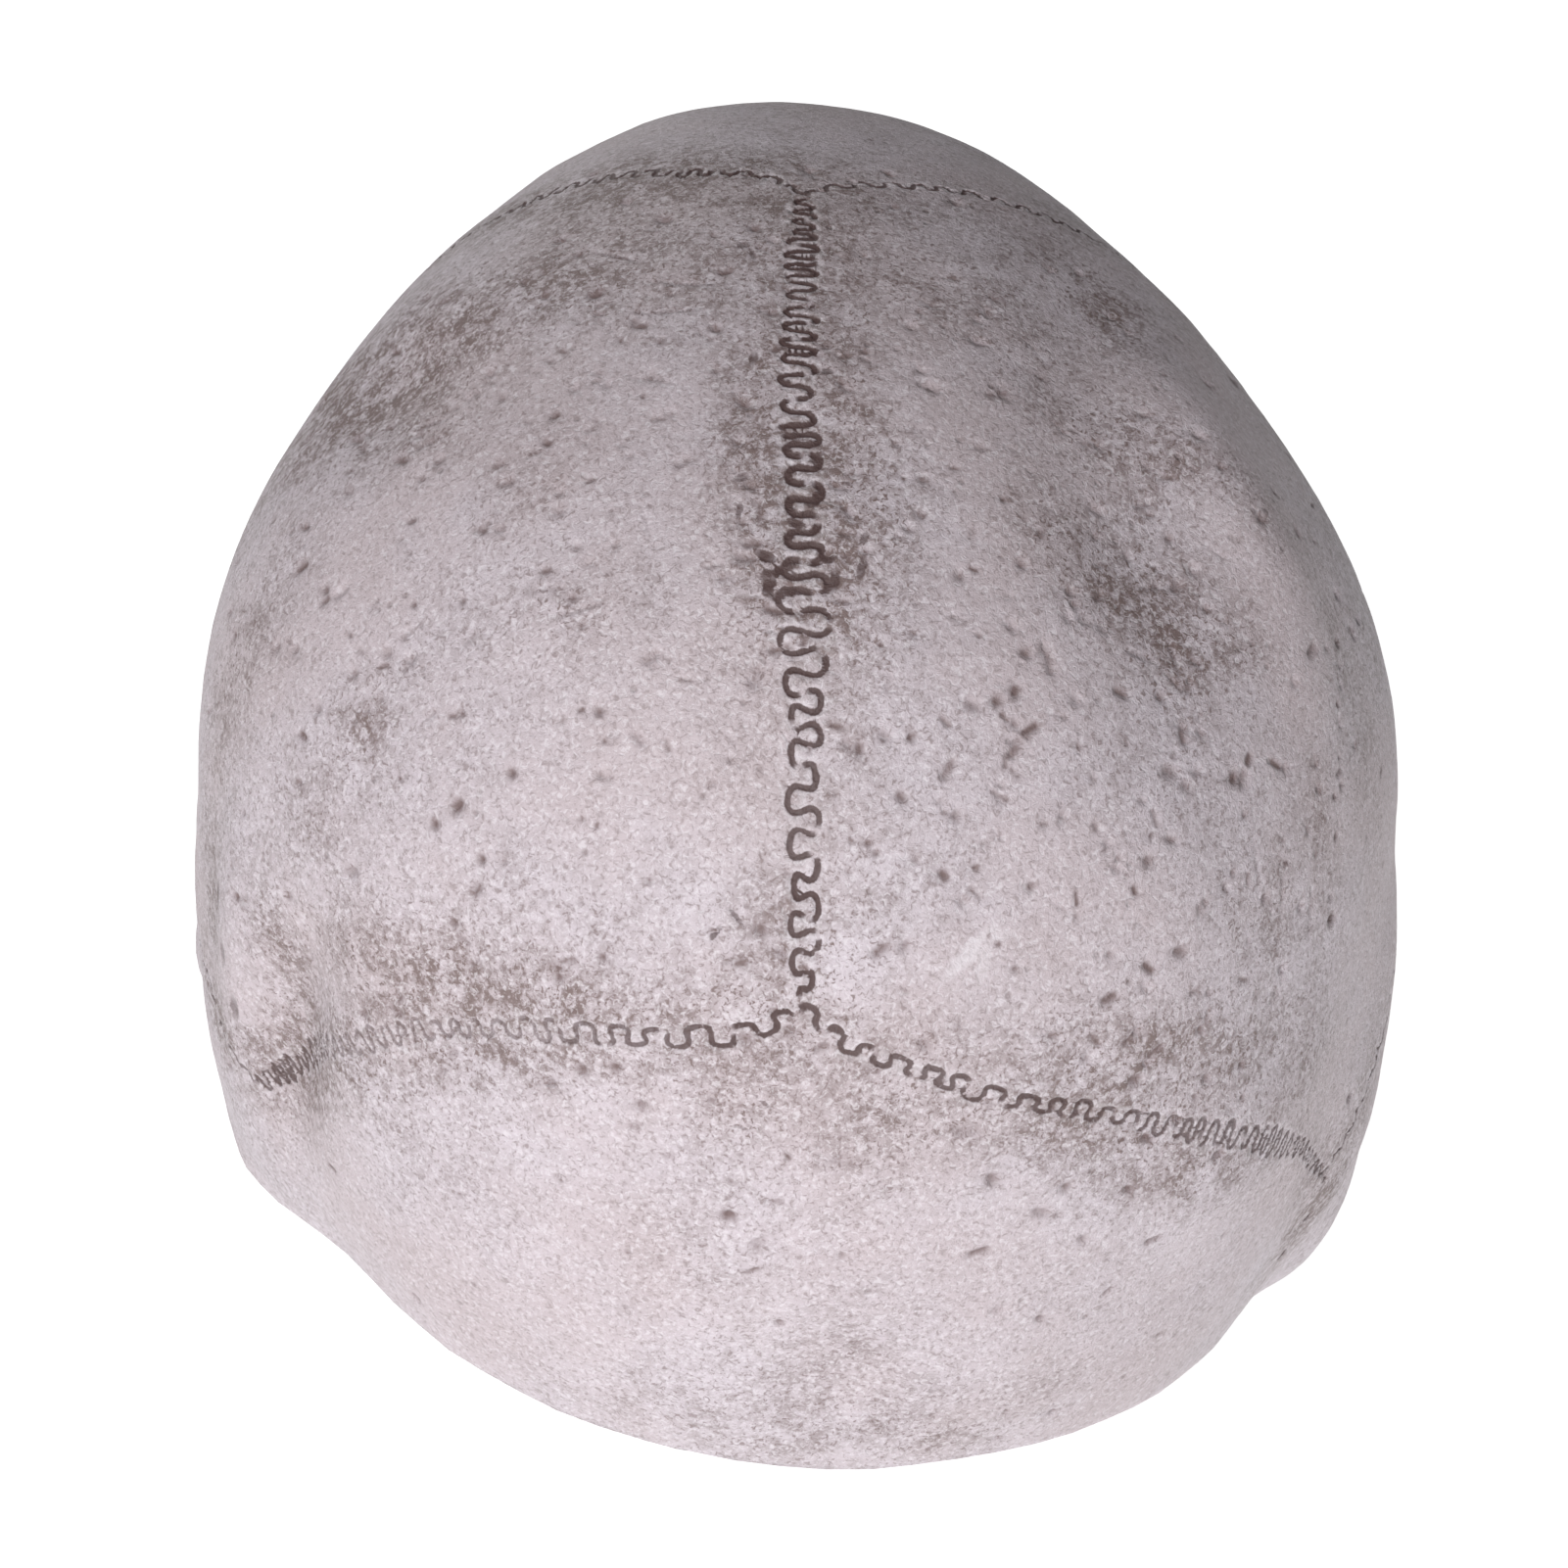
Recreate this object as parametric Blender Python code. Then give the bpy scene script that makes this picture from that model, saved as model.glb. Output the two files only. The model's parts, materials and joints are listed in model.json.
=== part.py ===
"""A full-head skull mask, cast in latex as one thin hollow skin and shown as it is worn.

Frame: metres, +Z up. The face looks along -Y and the wearer's left side is +X.
The origin is the point inside the crown where the mask sits on the wearer's head.
The outside is the surface of a field of smooth bone forms, met by rays from a point inside the
head. The inside follows the same field one wall further in, without the teeth.
"""

import math
from collections import namedtuple

import bpy
import numpy as np

# Driving sizes of the brain case, from its middle.
VAULT_HALF_WIDTH = 0.1045
CROWN_RISE = 0.1015
BASE_DROP = 0.1500
FOREHEAD_REACH = 0.1150
OCCIPUT_REACH = 0.1240
DENT_DEPTH = 0.0052

# Driving sizes of the face, from the middle of the brain case.
FACE_HALF_WIDTH = 0.0900
FACE_REACH = 0.1200
CHIN_DROP = 0.1750

# The teeth.
ARCH_HALF_WIDTH = 0.0370
ARCH_DEPTH = 0.0450
TOOTH_WIDTH = 0.0100
TOOTH_HEIGHT = 0.0150
TOOTH_THICKNESS = 0.0110
JAW_GAP = 0.0055

# The skin, the fillets between the forms, and the openings.
WALL = 0.0022
FILLET = 0.0100
EYE_HOLE_WIDTH = 0.0320
EYE_HOLE_HEIGHT = 0.0270
NOSE_HOLE_WIDTH = 0.0200
NOSE_HOLE_HEIGHT = 0.0260
MOUTH_SLIT_WIDTH = 0.0480

# The worn mask sits askew: the wearer's left side is pulled wider and higher than the right.
LEFT_STRETCH = 1.030
RIGHT_STRETCH = 0.990
LEFT_LIFT = 0.050

# How the brain case departs from an egg: its power, where 2 is an ellipsoid, how much narrower its
# front is, and where that narrowing starts and ends, as shares of the reach behind and in front.
VAULT_POWER = 2.10
FRONT_TAPER = 0.25
TAPER_START = 0.35
TAPER_END = 0.65

# Where the rays leave from, in the face's shares, how far out they start, and how they close in.
RAY_EYE = (0.0, -0.14, -0.24)
RAY_START = 0.30
RAY_STEPS = 40
RAY_CARE = 0.75

# The grid of rays, closer together on the face and near the rim, and the share of its faces kept.
COLUMNS = 150
ROWS = 100
FACE_CROWDING = 0.50
RIM_CROWDING = 0.10
KEPT_FACES = 0.185

# A form is an egg. Its centre and radii are shares of the face's half width, reach and chin drop,
# its power is 2 for an ellipsoid and more for a squarer form, and its blend is a share of FILLET.
# A form with two sides is repeated on the wearer's right.
Form = namedtuple("Form", "name sides centre radii power blend")
BONES = (
    Form("forehead", 1, (0.0, -0.530, -0.020), (0.72, 0.410, 0.340), 2.2, 2.0),
    Form("face_core", 1, (0.0, -0.340, -0.500), (0.70, 0.520, 0.400), 2.3, 1.2),
    Form("glabella", 1, (0.0, -0.885, -0.070), (0.20, 0.085, 0.060), 2.0, 1.2),
    Form("brow", 2, (0.37, -0.830, -0.070), (0.33, 0.115, 0.055), 2.0, 1.3),
    Form("eye_wall", 2, (0.60, -0.640, -0.200), (0.15, 0.150, 0.170), 2.0, 1.5),
    Form("cheekbone", 2, (0.65, -0.700, -0.370), (0.25, 0.150, 0.090), 2.0, 1.3),
    Form("upper_jaw", 1, (0.0, -0.620, -0.520), (0.43, 0.340, 0.200), 2.1, 1.8),
    Form("lower_jaw", 1, (0.0, -0.560, -0.800), (0.44, 0.330, 0.120), 2.2, 1.2),
    Form("chin", 1, (0.0, -0.850, -0.905), (0.24, 0.115, 0.085), 2.2, 1.4),
    Form("arch_web", 2, (0.70, -0.340, -0.420), (0.33, 0.420, 0.170), 2.2, 1.8),
)

# Forms of the brain case's sides, as shares of its half width, back reach and base drop.
BRAIN_SIDES = (
    Form("ear_side", 2, (0.740, 0.039, -0.303), (0.220, 0.387, 0.292), 2.2, 1.8),
    Form("mastoid", 2, (0.775, 0.145, -0.537), (0.129, 0.155, 0.128), 2.0, 1.4),
)

# A bar runs from a start to an end, in the same shares, with a radius at each end as a share of
# FILLET.
Bar = namedtuple("Bar", "name sides start end start_radius end_radius blend")
BARS = (
    Bar("eye_rim", 2, (0.690, -0.730, -0.090), (0.720, -0.700, -0.330), 0.80, 0.90, 1.2),
    Bar("arch_front", 2, (0.800, -0.650, -0.350), (1.020, -0.380, -0.335), 0.85, 0.70, 1.3),
    Bar("arch_back", 2, (1.020, -0.380, -0.335), (1.060, -0.080, -0.320), 0.70, 0.80, 1.6),
    Bar("nose_bridge", 1, (0.0, -0.870, -0.110), (0.0, -0.975, -0.300), 0.75, 0.65, 1.0),
    Bar("ramus", 2, (0.840, -0.080, -0.400), (0.710, -0.200, -0.680), 1.00, 1.10, 1.2),
    Bar("jaw_side", 2, (0.710, -0.200, -0.680), (0.450, -0.650, -0.855), 1.10, 0.70, 1.4),
    Bar("jaw_front", 2, (0.450, -0.650, -0.855), (0.120, -0.850, -0.915), 0.70, 1.00, 1.4),
)

# A hollow is an egg that points at the rays' eye. Its radii are its half width, its depth and its
# half height. The temples are hollowed before the bones are added, and the others after.
TEMPLES = (Form("temple", 2, (0.850, -0.500, -0.140), (0.420, 0.120, 0.180), 2.0, 2.4),)
HOLLOWS = (
    Form("eye_socket", 2, (0.630, -1.200, -0.165), (0.300, 0.585, 0.130), 2.4, 0.4),
    Form("nose_top", 1, (0.0, -1.040, -0.370), (0.110, 0.190, 0.095), 2.0, 0.3),
    Form("nose_base", 2, (0.090, -1.040, -0.470), (0.110, 0.200, 0.070), 2.0, 0.3),
    Form("canine_pit", 2, (0.400, -0.960, -0.490), (0.120, 0.100, 0.075), 2.0, 1.2),
    Form("cheek_hollow", 2, (0.820, -0.560, -0.560), (0.240, 0.190, 0.105), 2.0, 1.2),
    Form("under_teeth", 2, (0.420, -0.960, -0.830), (0.200, 0.090, 0.040), 2.0, 1.2),
    Form("neck_groove", 2, (1.050, -0.010, -0.520), (0.080, 0.120, 0.120), 2.0, 1.2),
)

# The teeth of one side, from the middle outwards. Widths and crowns are shares of TOOTH_WIDTH and
# TOOTH_HEIGHT. The arch's centre is a share of FACE_REACH and the bite a share of CHIN_DROP.
Tooth = namedtuple("Tooth", "name width crown")
UPPER_TEETH = (
    Tooth("incisor", 1.10, 1.00),
    Tooth("side_incisor", 0.86, 0.92),
    Tooth("canine", 0.98, 1.06),
    Tooth("first_premolar", 0.88, 0.90),
    Tooth("second_premolar", 0.88, 0.86),
    Tooth("first_molar", 1.22, 0.82),
    Tooth("second_molar", 1.16, 0.78),
)
LOWER_TEETH = (
    Tooth("incisor", 0.72, 0.90),
    Tooth("side_incisor", 0.78, 0.90),
    Tooth("canine", 0.90, 1.00),
    Tooth("first_premolar", 0.88, 0.88),
    Tooth("second_premolar", 0.92, 0.84),
    Tooth("first_molar", 1.30, 0.82),
    Tooth("second_molar", 1.24, 0.78),
)
ARCH_CENTRE = -0.565
BITE_LEVEL = -0.690
TOOTH_POWER = 3.0
TOOTH_BLEND = 0.15

# Where the openings are cut, in the face's shares, and how the cutters are made. The nose opening
# narrows upwards by its taper, and the mouth slit trims the biting edges.
EYE_PLACE = (0.415, -0.780, -0.195)
NOSE_PLACE = (0.0, -0.860, -0.425)
NOSE_TAPER = 0.30
CUTTER_SIDES = 24
CUTTER_REACH = 0.0350
BITE_TRIM = 0.0004

# Soft dents of the brain case, and ridges where the depth is negative: azimuth from the face by the
# wearer's left and climb above level, seen from the middle of the brain case, and the turn of the
# long way from level, all in degrees. Length and width are shares of the distance from the middle,
# and depth is a share of DENT_DEPTH.
Dent = namedtuple("Dent", "name azimuth climb turn length width depth")
DENTS = (
    Dent("right_back_hollow", 217, 38, 80, 0.22, 0.15, 1.00),
    Dent("right_back_ridge", 236, 38, 80, 0.26, 0.10, -0.70),
    Dent("right_top_hollow", 235, 58, 20, 0.22, 0.10, 0.60),
    Dent("left_top_hollow", 112, 46, 30, 0.22, 0.14, 0.70),
    Dent("left_side_crease", 131, -10, 70, 0.22, 0.07, 0.80),
    Dent("left_side_ridge", 121, -8, 80, 0.26, 0.07, -0.50),
    Dent("left_back_hollow", 150, 5, 0, 0.18, 0.14, 0.40),
    Dent("nape_hollow", 180, -28, 0, 0.14, 0.14, 0.50),
    Dent("right_low_swell", 215, -14, 0, 0.22, 0.16, -0.50),
)

# The rim, from the face round by the wearer's left: azimuth from the face, and how far below level
# the rays' eye sees the rim, in degrees.
Rim = namedtuple("Rim", "azimuth fall")
HEM = (
    Rim(0, 61.0),
    Rim(25, 61.0),
    Rim(55, 60.0),
    Rim(75, 56.0),
    Rim(92, 32.0),
    Rim(103, 21.0),
    Rim(120, 17.5),
    Rim(150, 18.6),
    Rim(180, 21.1),
    Rim(192, 20.6),
    Rim(210, 22.8),
    Rim(240, 31.0),
    Rim(257, 38.0),
    Rim(268, 43.0),
    Rim(285, 56.0),
    Rim(305, 60.0),
    Rim(335, 61.0),
)

# The latex, painted like old bone.
BONE_COLOUR = (0.52, 0.45, 0.48, 1.0)
BONE_ROUGHNESS = 0.60


def shares(values, sizes=(FACE_HALF_WIDTH, FACE_REACH, CHIN_DROP)):
    """A place or radii given as shares of the face's sizes, or of others, in metres."""
    return np.array(values) * sizes


def direction(azimuth, climb):
    """The unit direction at an azimuth from the face and a climb above level, in degrees."""
    around, rise = np.radians(azimuth), np.radians(climb)
    level = np.cos(rise)
    return np.stack([np.sin(around) * level, -np.cos(around) * level, np.sin(rise)], -1)


def aim(centre):
    """Columns side, out and up of a frame whose out axis runs from the rays' eye to a centre."""
    out = centre - shares(RAY_EYE)
    out = out / np.linalg.norm(out)
    side = np.cross(out, (0.0, 0.0, 1.0))
    side = side / np.linalg.norm(side)
    return np.stack([side, out, np.cross(side, out)], -1)


def egg(points, radii, power):
    """Distance to an egg round the origin, close to true near it and negative inside."""
    scaled = np.maximum(np.abs(points / radii), 1e-6)
    size = (scaled**power).sum(-1) ** (1 / power)
    slope = np.sqrt(((scaled ** (power - 1) / radii) ** 2).sum(-1)) / size ** (power - 1)
    return (size - 1) / slope


def bar(points, along, start_radius, end_radius):
    """Distance to a round bar centred on the origin, whose radius changes along it."""
    share = np.clip(0.5 + (points @ along) / (along @ along), 0, 1)
    gap = np.linalg.norm(points - (share[:, None] - 0.5) * along, axis=-1)
    return gap - start_radius - share * (end_radius - start_radius)


def join(first, second, blend):
    """The two bodies as one, with a soft fillet."""
    mix = np.clip(0.5 + 0.5 * (second - first) / blend, 0, 1)
    return second * (1 - mix) + first * mix - blend * mix * (1 - mix)


def add_form(distance, points, centre, reach, blend, sign, solid):
    """Joins one form to the field in place, or cuts it where sign is -1, working only near it."""
    near = np.flatnonzero((np.abs(points - centre) < reach + blend).all(-1))
    if len(near):
        other = solid(points[near] - centre)
        distance[near] = sign * join(sign * distance[near], other, blend)


def vault(points):
    """The brain case: an egg, fuller behind and narrower in front."""
    x, y, z = points.T
    start, end = TAPER_START * OCCIPUT_REACH, -TAPER_END * FOREHEAD_REACH
    front = np.clip((y - start) / (end - start), 0, 1)
    width = VAULT_HALF_WIDTH * (1 - FRONT_TAPER * front**2 * (3 - 2 * front))
    reach = np.where(y < 0, FOREHEAD_REACH, OCCIPUT_REACH)
    height = np.where(z > 0, CROWN_RISE, BASE_DROP)
    return egg(points, np.stack([width, reach, height], -1), VAULT_POWER)


def dents(points):
    """How far each point of the brain case is pushed in by its soft dents."""
    unit = points / np.linalg.norm(points, axis=-1, keepdims=True)
    depth = np.zeros(len(points))
    for dent in DENTS:
        out = direction(dent.azimuth, dent.climb)
        level = direction(dent.azimuth + 90, 0)
        turn = math.radians(dent.turn)
        up = np.cross(out, level)
        long_way = math.cos(turn) * level + math.sin(turn) * up
        wide_way = math.cos(turn) * up - math.sin(turn) * level
        spread = (unit @ long_way / dent.length) ** 2 + (unit @ wide_way / dent.width) ** 2
        depth += np.where(unit @ out > 0, dent.depth * DENT_DEPTH * np.exp(-spread), 0)
    return depth


def tooth_frames(teeth, upward):
    """(centre, frame, radii) of each tooth of one side; upward is 1 for the upper row, else -1."""
    steps = np.linspace(0, math.pi / 2, 200)
    spans = np.hypot(np.diff(ARCH_HALF_WIDTH * np.sin(steps)), np.diff(ARCH_DEPTH * np.cos(steps)))
    run = np.concatenate([[0], np.cumsum(spans)])
    stretch = min(1.0, run[-1] / sum(tooth.width * TOOTH_WIDTH for tooth in teeth))
    frames = []
    passed = 0.0
    for tooth in teeth:
        width = tooth.width * TOOTH_WIDTH * stretch
        crown = tooth.crown * TOOTH_HEIGHT
        angle = float(np.interp(passed + width / 2, run, steps))
        passed += width
        out = np.array([math.sin(angle) * ARCH_DEPTH, -math.cos(angle) * ARCH_HALF_WIDTH, 0])
        out = out / np.linalg.norm(out)
        along = np.array([-out[1], out[0], 0])
        x = ARCH_HALF_WIDTH * math.sin(angle)
        y = ARCH_CENTRE * FACE_REACH - ARCH_DEPTH * math.cos(angle)
        z = BITE_LEVEL * CHIN_DROP + upward * (JAW_GAP + crown) / 2
        radii = np.array([width, TOOTH_THICKNESS, crown]) / 2
        frames.append((np.array([x, y, z]), np.stack([along, out, [0, 0, 1]], -1), radii))
    return frames


def skull(points, with_teeth):
    """Distance to the outer surface of the mask before it is pulled askew."""
    folded = np.stack([np.abs(points[:, 0]), points[:, 1], points[:, 2]], -1)
    distance = vault(points) + dents(points)

    def add_eggs(forms, sign, *sizes):
        for form in forms:
            where = folded if form.sides == 2 else points
            centre, radii = shares(form.centre, *sizes), shares(form.radii, *sizes)
            frame = aim(centre) if sign < 0 else np.eye(3)
            reach = radii.max() if sign < 0 else radii
            add_form(
                distance,
                where,
                centre,
                reach,
                form.blend * FILLET,
                sign,
                lambda local: egg(local @ frame, radii, form.power),
            )

    add_eggs(TEMPLES, -1)
    add_eggs(BONES, 1)
    add_eggs(BRAIN_SIDES, 1, (VAULT_HALF_WIDTH, OCCIPUT_REACH, BASE_DROP))
    for rod in BARS:
        where = folded if rod.sides == 2 else points
        start, end = shares(rod.start), shares(rod.end)
        first, last = rod.start_radius * FILLET, rod.end_radius * FILLET
        add_form(
            distance,
            where,
            (start + end) / 2,
            np.abs(end - start) / 2 + max(first, last),
            rod.blend * FILLET,
            1,
            lambda local: bar(local, end - start, first, last),
        )
    add_eggs(HOLLOWS, -1)
    if with_teeth:
        for centre, frame, radii in tooth_frames(UPPER_TEETH, 1) + tooth_frames(LOWER_TEETH, -1):
            add_form(
                distance,
                folded,
                centre,
                radii.max(),
                TOOTH_BLEND * FILLET,
                1,
                lambda local: egg(local @ frame, radii, TOOTH_POWER),
            )
    return distance


def surface(rays, depth, with_teeth):
    """Where each ray, followed inwards, first lies that deep in the skull."""
    eye = shares(RAY_EYE)
    radius = np.full(len(rays), RAY_START)
    for _ in range(RAY_STEPS):
        gap = skull(eye + rays * radius[:, None], with_teeth) + depth
        radius -= RAY_CARE * gap
    return eye + rays * radius[:, None]


def hem_fall(azimuth):
    """Degrees below level at which the rays' eye sees the rim, smooth round the head."""
    places = np.array([row.azimuth for row in HEM], float)
    falls = np.array([row.fall for row in HEM])
    places = np.concatenate([places[-2:] - 360, places, places[:2] + 360])
    falls = np.concatenate([falls[-2:], falls, falls[:2]])
    slopes = np.zeros(len(places))
    slopes[1:-1] = (falls[2:] - falls[:-2]) / (places[2:] - places[:-2])
    azimuth = azimuth % 360
    low = np.clip(np.searchsorted(places, azimuth, side="right") - 1, 1, len(places) - 3)
    span = places[low + 1] - places[low]
    t = (azimuth - places[low]) / span
    return (
        (2 * t**3 - 3 * t**2 + 1) * falls[low]
        + (t**3 - 2 * t**2 + t) * span * slopes[low]
        + (3 * t**2 - 2 * t**3) * falls[low + 1]
        + (t**3 - t**2) * span * slopes[low + 1]
    )


def grid_rays():
    """Unit rays: first the crown's, then rows down to the rim, each round from the face."""
    turn = np.arange(COLUMNS) / COLUMNS
    azimuth = 360 * turn - np.degrees(FACE_CROWDING * np.sin(2 * math.pi * turn))
    share = np.linspace(0, 1, ROWS + 1)[1:, None]
    share = share + RIM_CROWDING * np.sin(math.pi * share)
    climb = 90 - share * (90 + hem_fall(azimuth))
    rays = direction(np.broadcast_to(azimuth, climb.shape), climb)
    return np.concatenate([[[0.0, 0.0, 1.0]], rays.reshape(-1, 3)])


def placed(points):
    """The points pulled askew as the mask is worn, with the inside of the crown at the origin."""
    x, y, z = points.T
    stretch = np.where(x > 0, LEFT_STRETCH, RIGHT_STRETCH)
    return np.stack([x * stretch, y, z + LEFT_LIFT * x - (CROWN_RISE - WALL)], -1)


def new_mesh(name, points, faces):
    mesh = bpy.data.meshes.new(name)
    mesh.from_pydata(np.array(points).tolist(), [], faces)
    mesh.update()
    return mesh


def skin():
    """The closed latex skin: the outside, the inside and the rim between them."""
    rays = grid_rays()
    outside = placed(surface(rays, 0.0, True))
    inside = placed(surface(rays, WALL, False))
    count = len(outside)
    last = 1 + (ROWS - 1) * COLUMNS
    faces = []
    rim = []
    for column in range(COLUMNS):
        after = (column + 1) % COLUMNS
        faces.append((0, 1 + column, 1 + after))
        for top in range(1, last, COLUMNS):
            low = top + COLUMNS
            faces.append((top + column, low + column, low + after, top + after))
        rim.append((last + after, last + column, count + last + column, count + last + after))
    inner = [tuple(count + corner for corner in reversed(face)) for face in faces]
    return new_mesh("latex_skin", np.concatenate([outside, inside]), faces + inner + rim)


def cutter(middle, frame, half_width, half_height, taper):
    """Points and faces of a straight cutter through the wall, narrowed upwards by its taper."""
    points = []
    for reach in (-CUTTER_REACH, CUTTER_REACH):
        for step in range(CUTTER_SIDES):
            angle = 2 * math.pi * step / CUTTER_SIDES
            across = half_width * math.sin(angle) * (1 - taper * math.cos(angle))
            points.append(middle + frame @ np.array([across, reach, half_height * math.cos(angle)]))
    faces = [tuple(reversed(range(CUTTER_SIDES))), tuple(range(CUTTER_SIDES, 2 * CUTTER_SIDES))]
    for step in range(CUTTER_SIDES):
        after = (step + 1) % CUTTER_SIDES
        faces.append((step, after, after + CUTTER_SIDES, step + CUTTER_SIDES))
    return points, faces


def opening_cutters():
    """The cutters of both eyes, the nose and the mouth, as one mesh of four closed bodies."""
    eye, nose = shares(EYE_PLACE), shares(NOSE_PLACE)
    mouth = np.array([0, ARCH_CENTRE * FACE_REACH - ARCH_DEPTH, BITE_LEVEL * CHIN_DROP])
    level = np.diag([-1.0, -1.0, 1.0])
    left_eye = cutter(eye, aim(eye), EYE_HOLE_WIDTH / 2, EYE_HOLE_HEIGHT / 2, 0)
    right_eye = (
        [point * (-1, 1, 1) for point in left_eye[0]],
        [tuple(reversed(face)) for face in left_eye[1]],
    )
    nostrils = cutter(nose, aim(nose), NOSE_HOLE_WIDTH / 2, NOSE_HOLE_HEIGHT / 2, NOSE_TAPER)
    slit = cutter(mouth, level, MOUTH_SLIT_WIDTH / 2, JAW_GAP / 2 + BITE_TRIM, 0)
    points, faces = [], []
    for more_points, more_faces in (left_eye, right_eye, nostrils, slit):
        faces += [tuple(len(points) + corner for corner in face) for face in more_faces]
        points += more_points
    return new_mesh("opening_cutters", placed(np.array(points)), faces)


def painted_latex():
    material = bpy.data.materials.new("painted_latex")
    material.use_nodes = True
    shader = material.node_tree.nodes["Principled BSDF"]
    shader.inputs["Base Color"].default_value = BONE_COLOUR
    shader.inputs["Roughness"].default_value = BONE_ROUGHNESS
    shader.inputs["Metallic"].default_value = 0.0
    return material


def clear_scene():
    for thing in list(bpy.data.objects):
        bpy.data.objects.remove(thing, do_unlink=True)


def add_object(name, mesh):
    thing = bpy.data.objects.new(name, mesh)
    bpy.context.scene.collection.objects.link(thing)
    return thing


def main():
    clear_scene()
    mask = add_object("latex_mask", skin())
    mask.data.materials.append(painted_latex())
    mask.data.shade_smooth()
    openings = add_object("opening_cutters", opening_cutters())
    openings.hide_render = True
    openings.display_type = "WIRE"
    mask.modifiers.new("fewer_faces", "DECIMATE").ratio = KEPT_FACES
    # The exact solver loses the skin at some sizes, where the reduced faces touch each other.
    cut = mask.modifiers.new("openings", "BOOLEAN")
    cut.operation = "DIFFERENCE"
    cut.solver = "MANIFOLD"
    cut.object = openings


main()
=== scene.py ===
import json
import math
from collections import namedtuple

import bpy
import numpy as np
from mathutils import Matrix, Vector, noise
from mathutils.kdtree import KDTree

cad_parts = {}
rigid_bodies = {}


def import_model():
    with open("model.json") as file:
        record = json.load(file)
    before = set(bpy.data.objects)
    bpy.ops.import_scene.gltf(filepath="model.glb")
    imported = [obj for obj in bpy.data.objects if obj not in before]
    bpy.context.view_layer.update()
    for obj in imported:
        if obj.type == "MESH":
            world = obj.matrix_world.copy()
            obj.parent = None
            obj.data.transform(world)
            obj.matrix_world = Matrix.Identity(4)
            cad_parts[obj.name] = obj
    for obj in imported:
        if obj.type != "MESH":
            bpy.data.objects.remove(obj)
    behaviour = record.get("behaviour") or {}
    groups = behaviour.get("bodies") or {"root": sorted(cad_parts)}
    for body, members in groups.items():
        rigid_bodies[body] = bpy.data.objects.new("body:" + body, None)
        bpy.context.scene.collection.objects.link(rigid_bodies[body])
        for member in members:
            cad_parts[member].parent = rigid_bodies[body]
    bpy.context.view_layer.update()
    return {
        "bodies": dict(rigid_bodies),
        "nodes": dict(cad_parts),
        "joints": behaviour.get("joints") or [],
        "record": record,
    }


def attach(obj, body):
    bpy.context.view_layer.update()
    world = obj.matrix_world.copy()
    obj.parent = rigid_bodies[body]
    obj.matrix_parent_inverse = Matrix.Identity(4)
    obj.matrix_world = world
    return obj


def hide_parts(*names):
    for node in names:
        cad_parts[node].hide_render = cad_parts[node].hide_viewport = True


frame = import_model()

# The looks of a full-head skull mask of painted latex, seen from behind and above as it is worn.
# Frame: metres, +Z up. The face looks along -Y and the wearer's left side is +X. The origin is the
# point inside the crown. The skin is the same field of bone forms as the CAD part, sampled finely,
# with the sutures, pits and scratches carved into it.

# Driving sizes of the brain case, from its middle.
VAULT_HALF_WIDTH = 0.1045
CROWN_RISE = 0.1015
BASE_DROP = 0.1500
FOREHEAD_REACH = 0.1150
OCCIPUT_REACH = 0.1240
DENT_DEPTH = 0.0052

# Driving sizes of the face, from the middle of the brain case.
FACE_HALF_WIDTH = 0.0900
FACE_REACH = 0.1200
CHIN_DROP = 0.1750

# The teeth.
ARCH_HALF_WIDTH = 0.0370
ARCH_DEPTH = 0.0450
TOOTH_WIDTH = 0.0100
TOOTH_HEIGHT = 0.0150
TOOTH_THICKNESS = 0.0110
JAW_GAP = 0.0055

# The skin, the fillets between the forms, and the openings.
WALL = 0.0022
FILLET = 0.0100
EYE_HOLE_WIDTH = 0.0320
EYE_HOLE_HEIGHT = 0.0270
NOSE_HOLE_WIDTH = 0.0200
NOSE_HOLE_HEIGHT = 0.0260
MOUTH_SLIT_WIDTH = 0.0480

# The worn mask sits askew: the wearer's left side is pulled wider and higher than the right.
LEFT_STRETCH = 1.030
RIGHT_STRETCH = 0.990
LEFT_LIFT = 0.050

# How the brain case departs from an egg: its power, where 2 is an ellipsoid, how much narrower its
# front is, and where that narrowing starts and ends, as shares of the reach behind and in front.
VAULT_POWER = 2.10
FRONT_TAPER = 0.25
TAPER_START = 0.35
TAPER_END = 0.65

# Where the rays leave from, in the face's shares, how far out they start, and how they close in.
RAY_EYE = (0.0, -0.14, -0.24)
RAY_START = 0.30
RAY_STEPS = 40
RAY_CARE = 0.75

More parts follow.
